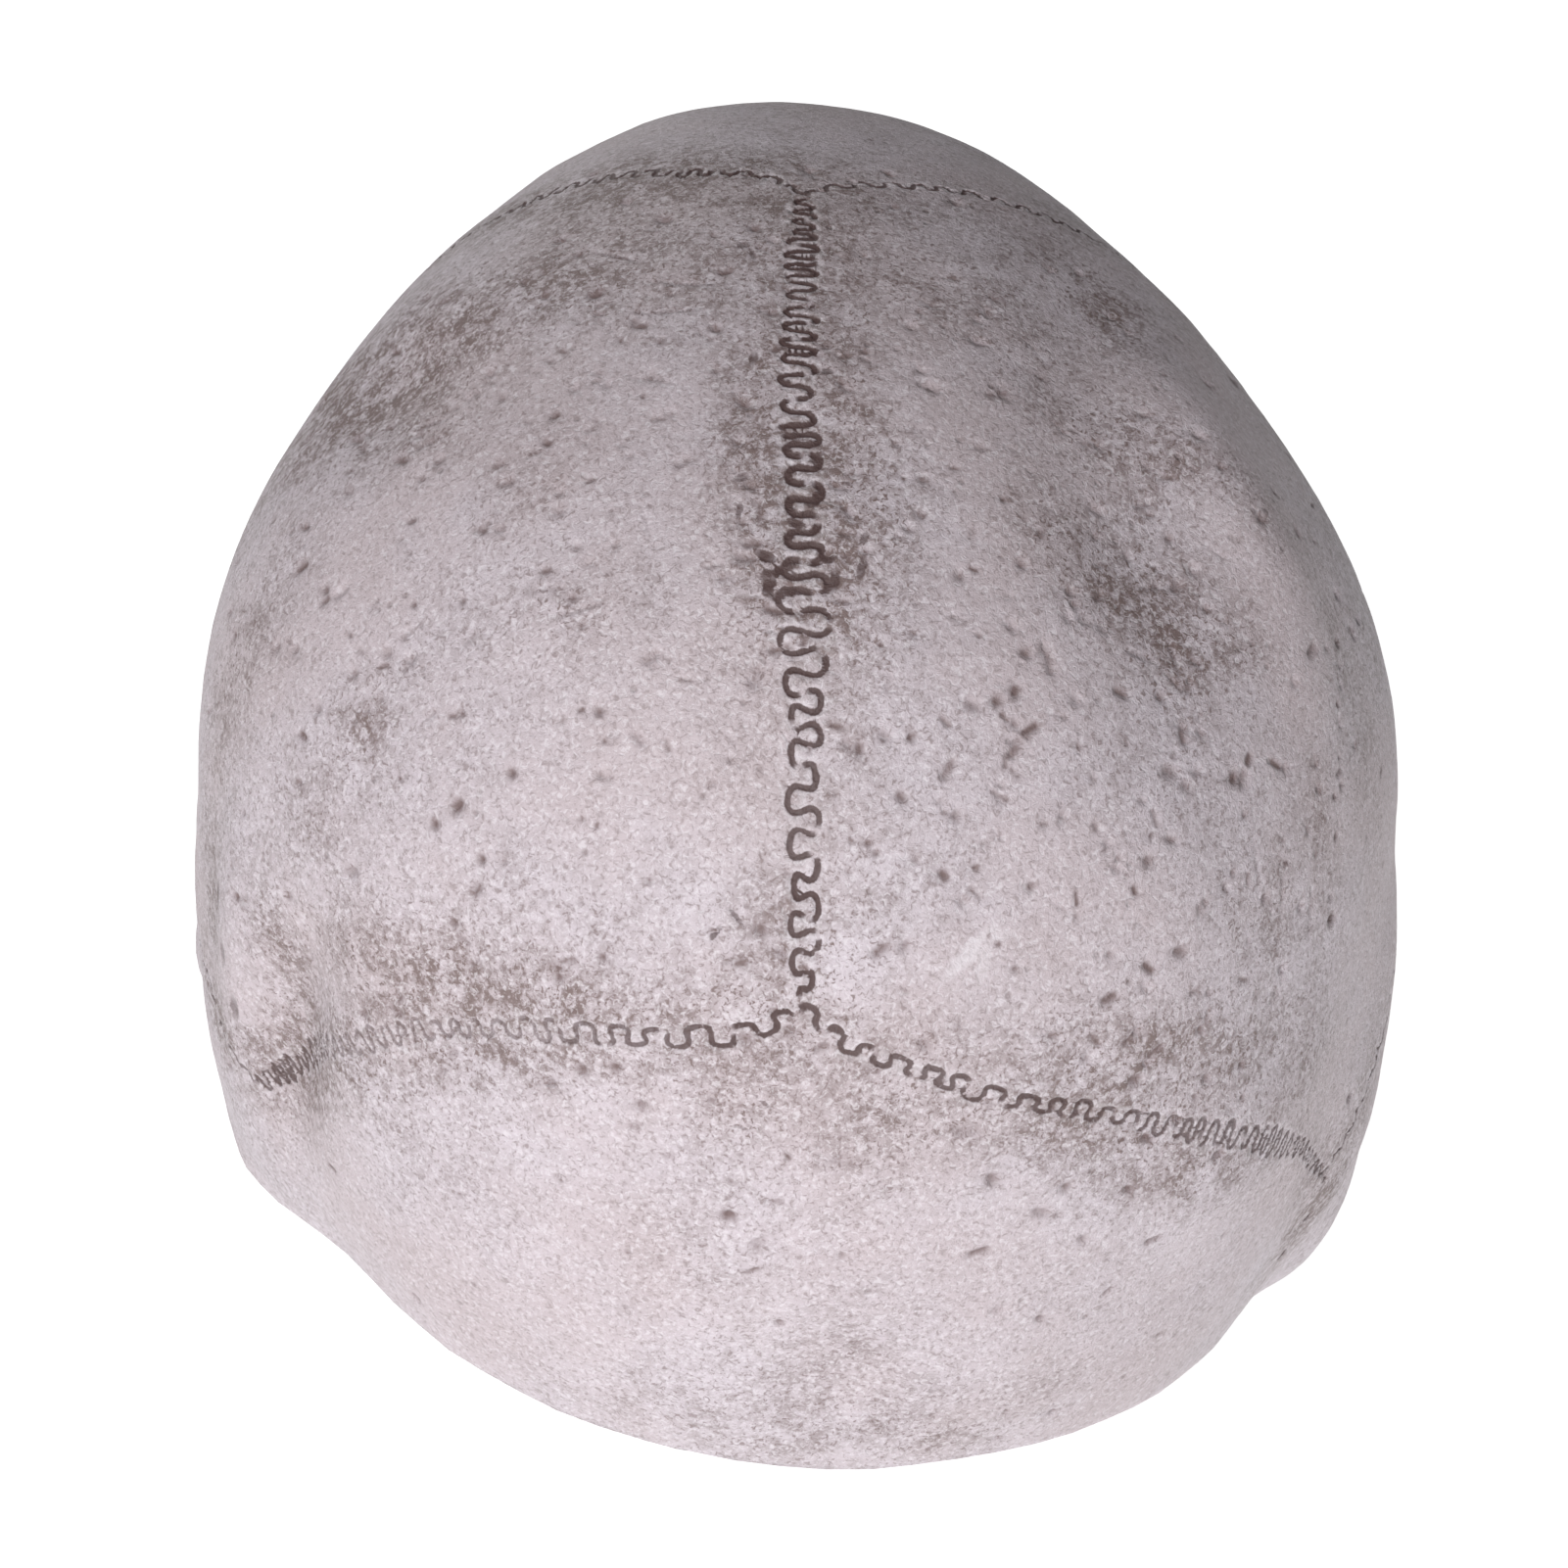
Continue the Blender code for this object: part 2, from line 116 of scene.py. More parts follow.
# A form is an egg. Its centre and radii are shares of the face's half width, reach and chin drop,
# its power is 2 for an ellipsoid and more for a squarer form, and its blend is a share of FILLET.
# A form with two sides is repeated on the wearer's right.
Form = namedtuple("Form", "name sides centre radii power blend")
BONES = (
    Form("forehead", 1, (0.0, -0.53, -0.02), (0.72, 0.41, 0.34), 2.2, 2.0),
    Form("face_core", 1, (0.0, -0.34, -0.5), (0.7, 0.52, 0.4), 2.3, 1.2),
    Form("glabella", 1, (0.0, -0.885, -0.07), (0.2, 0.085, 0.06), 2.0, 1.2),
    Form("brow", 2, (0.37, -0.83, -0.07), (0.33, 0.115, 0.055), 2.0, 1.3),
    Form("eye_wall", 2, (0.6, -0.64, -0.2), (0.15, 0.15, 0.17), 2.0, 1.5),
    Form("cheekbone", 2, (0.65, -0.7, -0.37), (0.25, 0.15, 0.09), 2.0, 1.3),
    Form("upper_jaw", 1, (0.0, -0.62, -0.52), (0.43, 0.34, 0.2), 2.1, 1.8),
    Form("lower_jaw", 1, (0.0, -0.56, -0.8), (0.44, 0.33, 0.12), 2.2, 1.2),
    Form("chin", 1, (0.0, -0.85, -0.905), (0.24, 0.115, 0.085), 2.2, 1.4),
    Form("arch_web", 2, (0.7, -0.34, -0.42), (0.33, 0.42, 0.17), 2.2, 1.8),
)

# Forms of the brain case's sides, as shares of its half width, back reach and base drop.
BRAIN_SIDES = (
    Form("ear_side", 2, (0.74, 0.039, -0.303), (0.22, 0.387, 0.292), 2.2, 1.8),
    Form("mastoid", 2, (0.775, 0.145, -0.537), (0.129, 0.155, 0.128), 2.0, 1.4),
)

# A bar runs from a start to an end, in the same shares, with a radius at each end as a share of
# FILLET.
Bar = namedtuple("Bar", "name sides start end start_radius end_radius blend")
BARS = (
    Bar("eye_rim", 2, (0.69, -0.73, -0.09), (0.72, -0.7, -0.33), 0.8, 0.9, 1.2),
    Bar("arch_front", 2, (0.8, -0.65, -0.35), (1.02, -0.38, -0.335), 0.85, 0.7, 1.3),
    Bar("arch_back", 2, (1.02, -0.38, -0.335), (1.06, -0.08, -0.32), 0.7, 0.8, 1.6),
    Bar("nose_bridge", 1, (0.0, -0.87, -0.11), (0.0, -0.975, -0.3), 0.75, 0.65, 1.0),
    Bar("ramus", 2, (0.84, -0.08, -0.4), (0.71, -0.2, -0.68), 1.0, 1.1, 1.2),
    Bar("jaw_side", 2, (0.71, -0.2, -0.68), (0.45, -0.65, -0.855), 1.1, 0.7, 1.4),
    Bar("jaw_front", 2, (0.45, -0.65, -0.855), (0.12, -0.85, -0.915), 0.7, 1.0, 1.4),
)

# A hollow is an egg that points at the rays' eye. Its radii are its half width, its depth and its
# half height. The temples are hollowed before the bones are added, and the others after.
TEMPLES = (Form("temple", 2, (0.850, -0.500, -0.140), (0.420, 0.120, 0.180), 2.0, 2.4),)
HOLLOWS = (
    Form("eye_socket", 2, (0.63, -1.2, -0.165), (0.3, 0.585, 0.13), 2.4, 0.4),
    Form("nose_top", 1, (0.0, -1.04, -0.37), (0.11, 0.19, 0.095), 2.0, 0.3),
    Form("nose_base", 2, (0.09, -1.04, -0.47), (0.11, 0.2, 0.07), 2.0, 0.3),
    Form("canine_pit", 2, (0.4, -0.96, -0.49), (0.12, 0.1, 0.075), 2.0, 1.2),
    Form("cheek_hollow", 2, (0.82, -0.56, -0.56), (0.24, 0.19, 0.105), 2.0, 1.2),
    Form("under_teeth", 2, (0.42, -0.96, -0.83), (0.2, 0.09, 0.04), 2.0, 1.2),
    Form("neck_groove", 2, (1.05, -0.01, -0.52), (0.08, 0.12, 0.12), 2.0, 1.2),
)

# The teeth of one side, from the middle outwards. Widths and crowns are shares of TOOTH_WIDTH and
# TOOTH_HEIGHT. The arch's centre is a share of FACE_REACH and the bite a share of CHIN_DROP.
Tooth = namedtuple("Tooth", "name width crown")
UPPER_TEETH = (
    Tooth("incisor", 1.1, 1.0),
    Tooth("side_incisor", 0.86, 0.92),
    Tooth("canine", 0.98, 1.06),
    Tooth("first_premolar", 0.88, 0.9),
    Tooth("second_premolar", 0.88, 0.86),
    Tooth("first_molar", 1.22, 0.82),
    Tooth("second_molar", 1.16, 0.78),
)
LOWER_TEETH = (
    Tooth("incisor", 0.72, 0.9),
    Tooth("side_incisor", 0.78, 0.9),
    Tooth("canine", 0.9, 1.0),
    Tooth("first_premolar", 0.88, 0.88),
    Tooth("second_premolar", 0.92, 0.84),
    Tooth("first_molar", 1.3, 0.82),
    Tooth("second_molar", 1.24, 0.78),
)
ARCH_CENTRE = -0.565
BITE_LEVEL = -0.690
TOOTH_POWER = 3.0
TOOTH_BLEND = 0.15

# Where the openings are cut, in the face's shares, and how the cutters are made. The nose opening
# narrows upwards by its taper, and the mouth slit trims the biting edges.
EYE_PLACE = (0.415, -0.780, -0.195)
NOSE_PLACE = (0.0, -0.860, -0.425)
NOSE_TAPER = 0.30
CUTTER_SIDES = 24
CUTTER_REACH = 0.0350
BITE_TRIM = 0.0004

# Soft dents of the brain case, and ridges where the depth is negative: azimuth from the face by the
# wearer's left and climb above level, seen from the middle of the brain case, and the turn of the
# long way from level, all in degrees. Length and width are shares of the distance from the middle,
# and depth is a share of DENT_DEPTH.
Dent = namedtuple("Dent", "name azimuth climb turn length width depth")
DENTS = (
    Dent("right_back_hollow", 217, 38, 80, 0.22, 0.15, 1.0),
    Dent("right_back_ridge", 236, 38, 80, 0.26, 0.1, -0.7),
    Dent("right_top_hollow", 235, 58, 20, 0.22, 0.1, 0.6),
    Dent("left_top_hollow", 112, 46, 30, 0.22, 0.14, 0.7),
    Dent("left_side_crease", 131, -10, 70, 0.22, 0.07, 0.8),
    Dent("left_side_ridge", 121, -8, 80, 0.26, 0.07, -0.5),
    Dent("left_back_hollow", 150, 5, 0, 0.18, 0.14, 0.4),
    Dent("nape_hollow", 180, -28, 0, 0.14, 0.14, 0.5),
    Dent("right_low_swell", 215, -14, 0, 0.22, 0.16, -0.5),
)

# The rim, from the face round by the wearer's left: azimuth from the face, and how far below level
# the rays' eye sees the rim, in degrees.
Rim = namedtuple("Rim", "azimuth fall")
HEM = (
    Rim(0, 61.0),
    Rim(25, 61.0),
    Rim(55, 60.0),
    Rim(75, 56.0),
    Rim(92, 32.0),
    Rim(103, 21.0),
    Rim(120, 17.5),
    Rim(150, 18.6),
    Rim(180, 21.1),
    Rim(192, 20.6),
    Rim(210, 22.8),
    Rim(240, 31.0),
    Rim(257, 38.0),
    Rim(268, 43.0),
    Rim(285, 56.0),
    Rim(305, 60.0),
    Rim(335, 61.0),
)

UP = (0.0, 0.0, 1.0)

# The grids of rays: the outer one is refined afterwards, and the inner one isn't.
COLUMNS = 150
OUTER_ROWS = 84
INNER_ROWS = 34
FACE_CROWDING = 0.50
RIM_CROWDING = 0.10
RIM_STEPS = 3
RIM_ROUNDING = 0.0005

# Edge lengths of the outer skin: on the brain case, on the face, on the teeth and at a carved mark,
# and how fast they grow away from a mark.
VAULT_EDGE = 0.0060
FACE_EDGE = 0.0036
TEETH_EDGE = 0.0017
MARK_EDGE = 0.00092
EDGE_GROWTH = 2.4
MARK_SKIRT = 1.4
REFINE_PASSES = 5

# The sutures. Each row is a point that the line passes, seen from the middle of the brain case, in
# degrees, with the wave's half width and length, the groove's half width and depth, all in
# millimetres, how much the wave folds back on itself, how dark the paint is and how broad the brown
# wash beside it is, from 0 to 1.
Mark = namedtuple("Mark", "azimuth climb sway pitch half_width depth fold paint wash")
SUTURES = {
    "coronal_left": (
        Mark(178, 87, 0.5, 5, 0.46, 0.5, 0.04, 1, 0.7),
        Mark(72, 86.5, 0.8, 5.5, 0.44, 0.5, 0.06, 1, 0.7),
        Mark(76, 79, 1.3, 4.6, 0.42, 0.5, 0.07, 1, 0.7),
        Mark(71, 72, 1.3, 4.2, 0.42, 0.45, 0.07, 1, 0.7),
        Mark(70, 64, 1.2, 3.6, 0.4, 0.45, 0.06, 0.95, 0.8),
        Mark(72, 56, 1.2, 3.4, 0.38, 0.4, 0.06, 0.9, 0.8),
        Mark(72, 42, 1.2, 3.8, 0.38, 0.4, 0.06, 0.8, 0.6),
        Mark(70, 24, 1.2, 4, 0.38, 0.4, 0.06, 0.7, 0.5),
    ),
    "coronal_right": (
        Mark(178, 87, 0.5, 5, 0.46, 0.5, 0.04, 1, 0.7),
        Mark(266, 86, 0.9, 5, 0.4, 0.45, 0.06, 0.95, 0.4),
        Mark(280, 78, 1.1, 4.8, 0.38, 0.45, 0.07, 0.9, 0.4),
        Mark(280, 72, 1.1, 4.6, 0.38, 0.45, 0.07, 0.9, 0.4),
        Mark(282, 65, 1, 4.4, 0.36, 0.4, 0.06, 0.85, 0.4),
        Mark(283, 56, 1, 4.2, 0.36, 0.4, 0.06, 0.8, 0.4),
        Mark(284, 42, 1.2, 4, 0.38, 0.4, 0.06, 0.75, 0.4),
        Mark(286, 24, 1.2, 4, 0.38, 0.4, 0.06, 0.7, 0.4),
    ),
    "sagittal": (
        Mark(178, 87, 0.8, 3.8, 0.56, 0.6, 0.05, 1, 0.6),
        Mark(178, 81, 1.6, 3.8, 0.48, 0.6, 0.06, 1, 0.6),
        Mark(177, 73, 2.3, 3.8, 0.46, 0.6, 0.07, 1, 0.7),
        Mark(177, 64, 2.5, 3.8, 0.46, 0.6, 0.07, 1, 0.9),
        Mark(177, 56, 2.4, 4.4, 0.5, 0.6, 0.08, 1, 1),
        Mark(178, 50, 2.8, 5.8, 0.62, 0.6, 0.11, 1, 1),
        Mark(178, 43, 2.8, 5.6, 0.64, 0.6, 0.11, 1, 1),
        Mark(178, 38.5, 3.2, 6.4, 0.52, 0.6, 0.15, 0.95, 0.8),
        Mark(178, 33, 3.3, 6.8, 0.46, 0.55, 0.17, 0.9, 0.5),
        Mark(178, 28, 2.3, 6.8, 0.46, 0.55, 0.14, 0.9, 0.4),
        Mark(178, 20, 2.3, 7.6, 0.46, 0.55, 0.14, 0.9, 0.4),
        Mark(178, 15, 2.1, 7.4, 0.44, 0.55, 0.16, 0.9, 0.5),
        Mark(178, 11, 1.8, 6.4, 0.44, 0.5, 0.15, 0.9, 0.7),
        Mark(178, 7.5, 0.8, 6, 0.46, 0.5, 0.08, 0.9, 0.9),
    ),
    "lambdoid_left": (
        Mark(178, 7.5, 0.6, 6.4, 0.46, 0.5, 0.04, 0.9, 0.9),
        Mark(174, 5, 1.6, 6.2, 0.42, 0.5, 0.11, 0.85, 0.9),
        Mark(168, 4, 1.7, 6.2, 0.4, 0.5, 0.13, 0.75, 0.7),
        Mark(162, 3, 1.6, 5.8, 0.38, 0.45, 0.12, 0.65, 0.6),
        Mark(156, 1.3, 1.6, 4.8, 0.36, 0.4, 0.08, 0.6, 0.7),
        Mark(150, -1, 1.8, 3.8, 0.34, 0.4, 0.07, 0.55, 0.8),
        Mark(144, -4, 1.8, 3.4, 0.34, 0.35, 0.06, 0.5, 0.8),
        Mark(140, -7, 1.8, 3.4, 0.34, 0.35, 0.06, 0.5, 0.9),
        Mark(134, -11, 2.1, 3.2, 0.36, 0.4, 0.05, 0.65, 1),
        Mark(128, -17, 2.2, 3, 0.38, 0.45, 0.05, 0.8, 1),
        Mark(122, -21.5, 1.4, 3, 0.38, 0.45, 0.05, 0.8, 0.9),
    ),
    "lambdoid_right": (
        Mark(178, 7.5, 0.6, 6.4, 0.46, 0.5, 0.04, 0.95, 0.9),
        Mark(181, 4.5, 1.4, 6, 0.46, 0.55, 0.1, 0.95, 0.8),
        Mark(187, 2, 1.6, 5.8, 0.44, 0.55, 0.14, 0.9, 0.7),
        Mark(193, -0.7, 1.6, 5.6, 0.44, 0.5, 0.14, 0.9, 0.8),
        Mark(199, -2.8, 1.4, 5.2, 0.4, 0.45, 0.12, 0.8, 0.9),
        Mark(204, -5, 1.7, 4.4, 0.38, 0.45, 0.09, 0.7, 0.9),
        Mark(209, -7.5, 2.1, 4, 0.38, 0.45, 0.07, 0.7, 0.7),
        Mark(214, -10, 2.2, 3.9, 0.38, 0.45, 0.07, 0.75, 0.6),
        Mark(219, -13, 2.1, 3.8, 0.38, 0.45, 0.07, 0.75, 0.6),
        Mark(227, -19, 1.7, 3.6, 0.38, 0.45, 0.06, 0.75, 0.6),
        Mark(236, -27.5, 0.8, 3.4, 0.38, 0.4, 0.05, 0.75, 0.6),
    ),
    "squamous_left": (
        Mark(122, -21.5, 0.6, 4, 0.36, 0.4, 0.04, 0.7, 0.6),
        Mark(108, -14, 0.6, 6, 0.36, 0.4, 0.04, 0.6, 0.5),
        Mark(92, -6, 0.6, 6, 0.36, 0.4, 0.04, 0.6, 0.5),
        Mark(76, -4, 0.6, 6, 0.36, 0.4, 0.04, 0.6, 0.5),
    ),
    "squamous_right": (
        Mark(236, -27.5, 0.6, 4, 0.36, 0.4, 0.04, 0.7, 0.6),
        Mark(252, -14, 0.6, 6, 0.36, 0.4, 0.04, 0.6, 0.5),
        Mark(268, -6, 0.6, 6, 0.36, 0.4, 0.04, 0.6, 0.5),
        Mark(284, -4, 0.6, 6, 0.36, 0.4, 0.04, 0.6, 0.5),
    ),
}
MARK_STEP = 0.00015
FINE_STEP = MARK_STEP / 3
LOOK_AHEAD = 0.004
MILLI = 1000
WAVE_WANDER = 0.30
GAP_SPACING = 0.016
GAP_LENGTH = 0.0009
LIP_HEIGHT = 0.22
WASH_REACH = 0.008
WASH_DEPTH = 0.03
FACE_BLEND = 0.02
FAR_SHARE = 3.0

# Blots of paint and scars, placed as the sutures are: length and half width in millimetres, the
# turn of the long way from level in degrees, depth in millimetres and how dark the paint is.
Blot = namedtuple("Blot", "azimuth climb length half_width turn depth paint")
BLOTS = (
    Blot(175.4, 40.4, 4.2, 1.5, 30, 0.3, 1.0),
    Blot(174.0, 41.6, 2.8, 1.0, -20, 0.3, 0.9),
    Blot(174.6, 39.2, 3.0, 1.0, 80, 0.3, 0.95),
    Blot(176.6, 38.9, 2.6, 1.1, 10, 0.3, 0.9),
    Blot(181.0, 39.8, 3.2, 0.9, 75, 0.25, 0.85),
    Blot(180.6, 41.6, 2.2, 0.7, 20, 0.25, 0.85),
    Blot(184.0, 41.0, 3.6, 0.7, 70, 0.2, 0.65),
    Blot(184.6, 43.5, 2.5, 0.6, 60, 0.2, 0.6),
    Blot(179.4, 47.0, 2.6, 1.1, 60, 0.35, 1.0),
    Blot(177.2, 44.6, 2.4, 0.9, -30, 0.3, 0.95),
    Blot(179.6, 51.0, 2.0, 0.8, 40, 0.3, 0.9),
    Blot(170.8, 45.5, 3.0, 0.5, 85, 0.25, 0.6),
    Blot(170.6, 48.5, 2.2, 0.8, 30, 0.25, 0.6),
    Blot(183.2, 48.5, 1.8, 0.7, 10, 0.25, 0.7),
    Blot(169.2, 61.0, 2.4, 0.7, 85, 0.25, 0.6),
    Blot(181.8, 60.0, 1.6, 0.7, 0, 0.25, 0.65),
    Blot(182.0, 63.0, 2.0, 0.6, 10, 0.25, 0.55),
    Blot(155, 76.0, 2.4, 0.7, 60, 0.25, 0.6),
    Blot(160, 75.0, 3.2, 0.5, -60, 0.25, 0.6),
    Blot(190.5, 11.4, 10.0, 1.2, 42, 0.12, -0.55),
    Blot(191.5, 10.6, 6.0, 1.0, 75, 0.1, -0.4),
    Blot(192.8, 12.4, 5.0, 0.8, 10, 0.1, -0.3),
    Blot(173, 14.0, 3.4, 0.35, -50, 0.35, 0.55),
    Blot(171.5, 12.6, 2.4, 0.45, 60, 0.35, 0.7),
    Blot(175, -0.5, 4.5, 0.32, -45, 0.3, 0.45),
    Blot(173.5, -3.0, 3.5, 0.32, -15, 0.3, 0.4),
    Blot(237, -28.5, 1.2, 0.6, 60, 0.4, 0.85),
    Blot(237, -33.0, 1.6, 0.7, 70, 0.4, 0.85),
    Blot(236, -37.0, 2.2, 0.8, 70, 0.4, 0.9),
    Blot(119, -4.0, 6.0, 1.2, 80, 0.2, 0.55),
    Blot(120, -9.0, 5.0, 1.0, 80, 0.2, 0.5),
    Blot(121, -14.0, 5.0, 1.1, 80, 0.2, 0.55),
    Blot(123, 69, 10.0, 0.36, 20, 0.3, 0.45),
    Blot(147, 69, 12.0, 0.38, 15, 0.3, 0.4),
    Blot(149, 65, 11.0, 0.36, 24, 0.3, 0.4),
    Blot(155, 57, 10.0, 0.3, 0, 0.25, 0.3),
    Blot(126, 46, 7.0, 0.5, 48, 0.3, 0.35),
    Blot(128, 44, 8.0, 0.4, 52, 0.3, 0.3),
    Blot(139, 50, 4.0, 0.9, 88, 0.15, 0.2),
    Blot(157, 35, 9.0, 0.34, 30, 0.25, 0.35),
    Blot(153, 36, 8.0, 0.3, 20, 0.2, 0.25),
    Blot(161, 43, 8.0, 0.3, -60, 0.2, 0.25),
    Blot(212, 31, 6.0, 0.6, -35, 0.3, 0.35),
    Blot(207, 35, 2.2, 1.1, -30, 0.4, 0.3),
    Blot(209, 34, 2.0, 1.0, -40, 0.4, 0.3),
    Blot(216, 30, 5.0, 0.5, 80, 0.3, 0.4),
    Blot(218, 12, 9.0, 0.45, 85, 0.2, 0.25),
    Blot(221, 9, 8.0, 0.45, 82, 0.2, 0.25),
    Blot(225, 5, 9.0, 0.5, 80, 0.2, 0.3),
)

# Soft washes of brown-grey paint: length and half width in millimetres, the turn of the long way
# from level in degrees and how strong the paint is, from 0 to 1. Most are stains; the rows marked
# below are painted shade as well, over the crown's top, down the left edge, at the upper right and
# along the hem.
Wash = namedtuple("Wash", "azimuth climb length half_width turn strength")
STAIN_AND_SHADE_WASHES = (
    Wash(173, 56, 44, 7, 88, 0.75),
    Wash(184, 52, 52, 7, 92, 0.85),
    Wash(178, 42, 16, 14, 0, 0.95),
    # This row and the next are partly stain and partly painted shade over the top of the crown.
    Wash(150, 80, 34, 14, 10, 0.75),
    Wash(178, 88, 30, 12, 0, 0.6),
    Wash(88, 74, 34, 13, 80, 0.95),
    Wash(110, 58, 30, 10, 60, 0.55),
    Wash(110, 48, 36, 16, 50, 1.0),
    Wash(126, 45, 18, 7, 45, 0.4),
    Wash(120, 66, 30, 14, 20, 0.7),
    Wash(147, 68, 26, 10, 15, 0.4),
    Wash(146, 45, 20, 14, 40, 0.25),
    Wash(157, 35, 26, 6, 25, 0.45),
    Wash(138, 21, 18, 5, 75, 0.45),
    Wash(135, 12, 16, 6, 70, 0.3),
    Wash(129, -3, 22, 7, 70, 0.6),
    Wash(150, 3, 28, 8, 10, 0.75),
    Wash(160, 5, 24, 7, -5, 0.55),
    Wash(140, 2, 18, 7, 30, 0.6),
    # This row and the next two are partly stain and partly painted shade down the left edge.
    Wash(117, 16, 40, 9, 80, 0.65),
    Wash(116, -5, 34, 6, 82, 0.75),
    Wash(117, -18, 14, 6, 70, 0.7),
    Wash(130, -14, 14, 8, 60, 0.55),
    Wash(205, 72, 26, 12, 80, 0.55),
    Wash(222, 64, 24, 12, 30, 0.35),
    # Painted shade at the upper right.
    Wash(255, 62, 34, 9, 60, 0.5),
    Wash(209, 41, 26, 9, -55, 0.6),
    Wash(217, 31, 24, 9, -20, 0.45),
    Wash(223, 29, 16, 8, 0, 0.35),
    Wash(224, 50, 22, 8, -60, 0.45),
    Wash(234, 42, 34, 7, -70, 0.6),
    Wash(240, 20, 46, 7, 85, 0.6),
    Wash(228, 12, 30, 5, 84, 0.5),
    Wash(220, 8, 22, 4, 84, 0.45),
    Wash(214, 7, 20, 4, 80, 0.35),
    Wash(204, 1, 24, 7, -12, 0.8),
    Wash(214, -3, 26, 6, -14, 0.7),
    Wash(226, -10, 20, 7, -30, 0.6),
    Wash(209, -12, 26, 6, -14, 0.55),
    Wash(198, 5, 16, 7, 30, 0.3),
    Wash(173, 9, 10, 4, 60, 0.4),
    Wash(184, -3, 20, 8, 40, 0.6),
    Wash(174, -1, 16, 8, 0, 0.6),
    Wash(180, -9, 22, 14, 0, 0.15),
    Wash(181, -28, 26, 7, 85, 0.2),
    # Painted shade: a faint grey band along the hem at the nape.
    Wash(180, -36, 130, 9, 0, 0.2),
    Wash(189, -37, 16, 5, 15, 0.45),
    Wash(169, -16, 20, 12, 30, 0.15),
    Wash(238, -32, 34, 9, 60, 0.85),
    Wash(200, -30, 24, 8, 20, 0.2),
    Wash(95, 30, 60, 16, 70, 0.55),
    Wash(268, 30, 60, 16, 70, 0.5),
    Wash(82, -4, 36, 12, 0, 0.6),
    Wash(278, -4, 36, 12, 0, 0.55),
    Wash(30, 52, 34, 12, 0, 0.45),
    Wash(330, 55, 34, 12, 0, 0.45),
    Wash(0, 64, 30, 8, 90, 0.35),
    Wash(40, 20, 24, 10, 20, 0.35),
    Wash(320, 20, 24, 10, -20, 0.35),
)

# Pits, strewn with a fixed seed. Each region is a soft round patch, in degrees, with how many there
# are and the lean of the longer ones from level.
Patch = namedtuple("Patch", "azimuth climb spread count lean")
PATCHES = (
    Patch(203, 36, 20, 120, -20),
    Patch(215, 18, 17, 80, 70),
    Patch(190, 24, 10, 34, -60),
    Patch(145, 60, 16, 60, 20),
    Patch(120, 50, 14, 40, 35),
    Patch(150, 38, 14, 44, 30),
    Patch(135, 8, 16, 44, 60),
    Patch(200, 66, 14, 30, 0),
    Patch(178, 15, 18, 40, 70),
    Patch(160, 4, 12, 24, 0),
    Patch(205, -4, 13, 34, -10),
    Patch(178, -14, 18, 26, 20),
    Patch(235, 40, 18, 24, 0),
    Patch(0, 70, 36, 14, 0),
    Patch(90, 20, 28, 10, 0),
    Patch(275, 10, 26, 10, 0),
    Patch(0, 35, 34, 10, 0),
)
PIT_HALF_WIDTH = (0.00046, 0.00120)
PIT_LENGTH = (0.0, 0.0022)
PIT_DEPTH = (0.00034, 0.00085)
# How dark the pits are, from their brown stain and from painted shade in the dimples.
PIT_STAIN_AND_SHADE = (0.15, 0.85)
STREW_SEED = 11

# Slow lumps of the cast skin: the size of a lump and its height.
Lump = namedtuple("Lump", "size height")
LUMPS = (
    Lump(0.034, 0.0009),
    Lump(0.012, 0.0003),
    Lump(0.005, 0.00009),
)

# The camera of the photograph: where it is seen from, the point it is aimed at, the place of that
# point in the picture and the size of the picture, in pixels.
VIEW_AZIMUTH = 178
VIEW_CLIMB = 30
VIEW_DISTANCE = 1.10
VIEW_AIM = (0.0, 0.010, -0.1034)
VIEW_SCALE = 0.000170
AIM_IN_PICTURE = (824, 776)
PICTURE_WIDTH = 1601
SENSOR_WIDTH = 36
FLOOR_LEVEL = -0.62


def shares(values, sizes=(FACE_HALF_WIDTH, FACE_REACH, CHIN_DROP)):
    """A place or radii given as shares of the face's sizes, or of others, in metres."""
    return np.array(values) * sizes


def direction(azimuth, climb):
    """The unit direction at an azimuth from the face and a climb above level, in degrees."""
    around, rise = np.radians(azimuth), np.radians(climb)
    level = np.cos(rise)
    return np.stack([np.sin(around) * level, -np.cos(around) * level, np.sin(rise)], -1)


def aim(centre):
    """Columns side, out and up of a frame whose out axis runs from the rays' eye to a centre."""
    out = centre - shares(RAY_EYE)
    out = out / np.linalg.norm(out)
    side = np.cross(out, UP)
    side = side / np.linalg.norm(side)
    return np.stack([side, out, np.cross(side, out)], -1)


def egg(points, radii, power):
    """Distance to an egg round the origin, close to true near it and negative inside."""
    scaled = np.maximum(np.abs(points / radii), 1e-6)
    size = (scaled**power).sum(-1) ** (1 / power)
    slope = np.sqrt(((scaled ** (power - 1) / radii) ** 2).sum(-1)) / size ** (power - 1)
    return (size - 1) / slope


def bar(points, along, start_radius, end_radius):
    """Distance to a round bar centred on the origin, whose radius changes along it."""
    share = np.clip(0.5 + (points @ along) / (along @ along), 0, 1)
    gap = np.linalg.norm(points - (share[:, None] - 0.5) * along, axis=-1)
    return gap - start_radius - share * (end_radius - start_radius)


def join(first, second, blend):
    """The two bodies as one, with a soft fillet."""
    mix = np.clip(0.5 + 0.5 * (second - first) / blend, 0, 1)
    return second * (1 - mix) + first * mix - blend * mix * (1 - mix)


def add_form(distance, points, centre, reach, blend, sign, solid):
    """Joins one form to the field in place, or cuts it where sign is -1, working only near it."""
    near = np.flatnonzero((np.abs(points - centre) < reach + blend).all(-1))
    if len(near):
        other = solid(points[near] - centre)
        distance[near] = sign * join(sign * distance[near], other, blend)


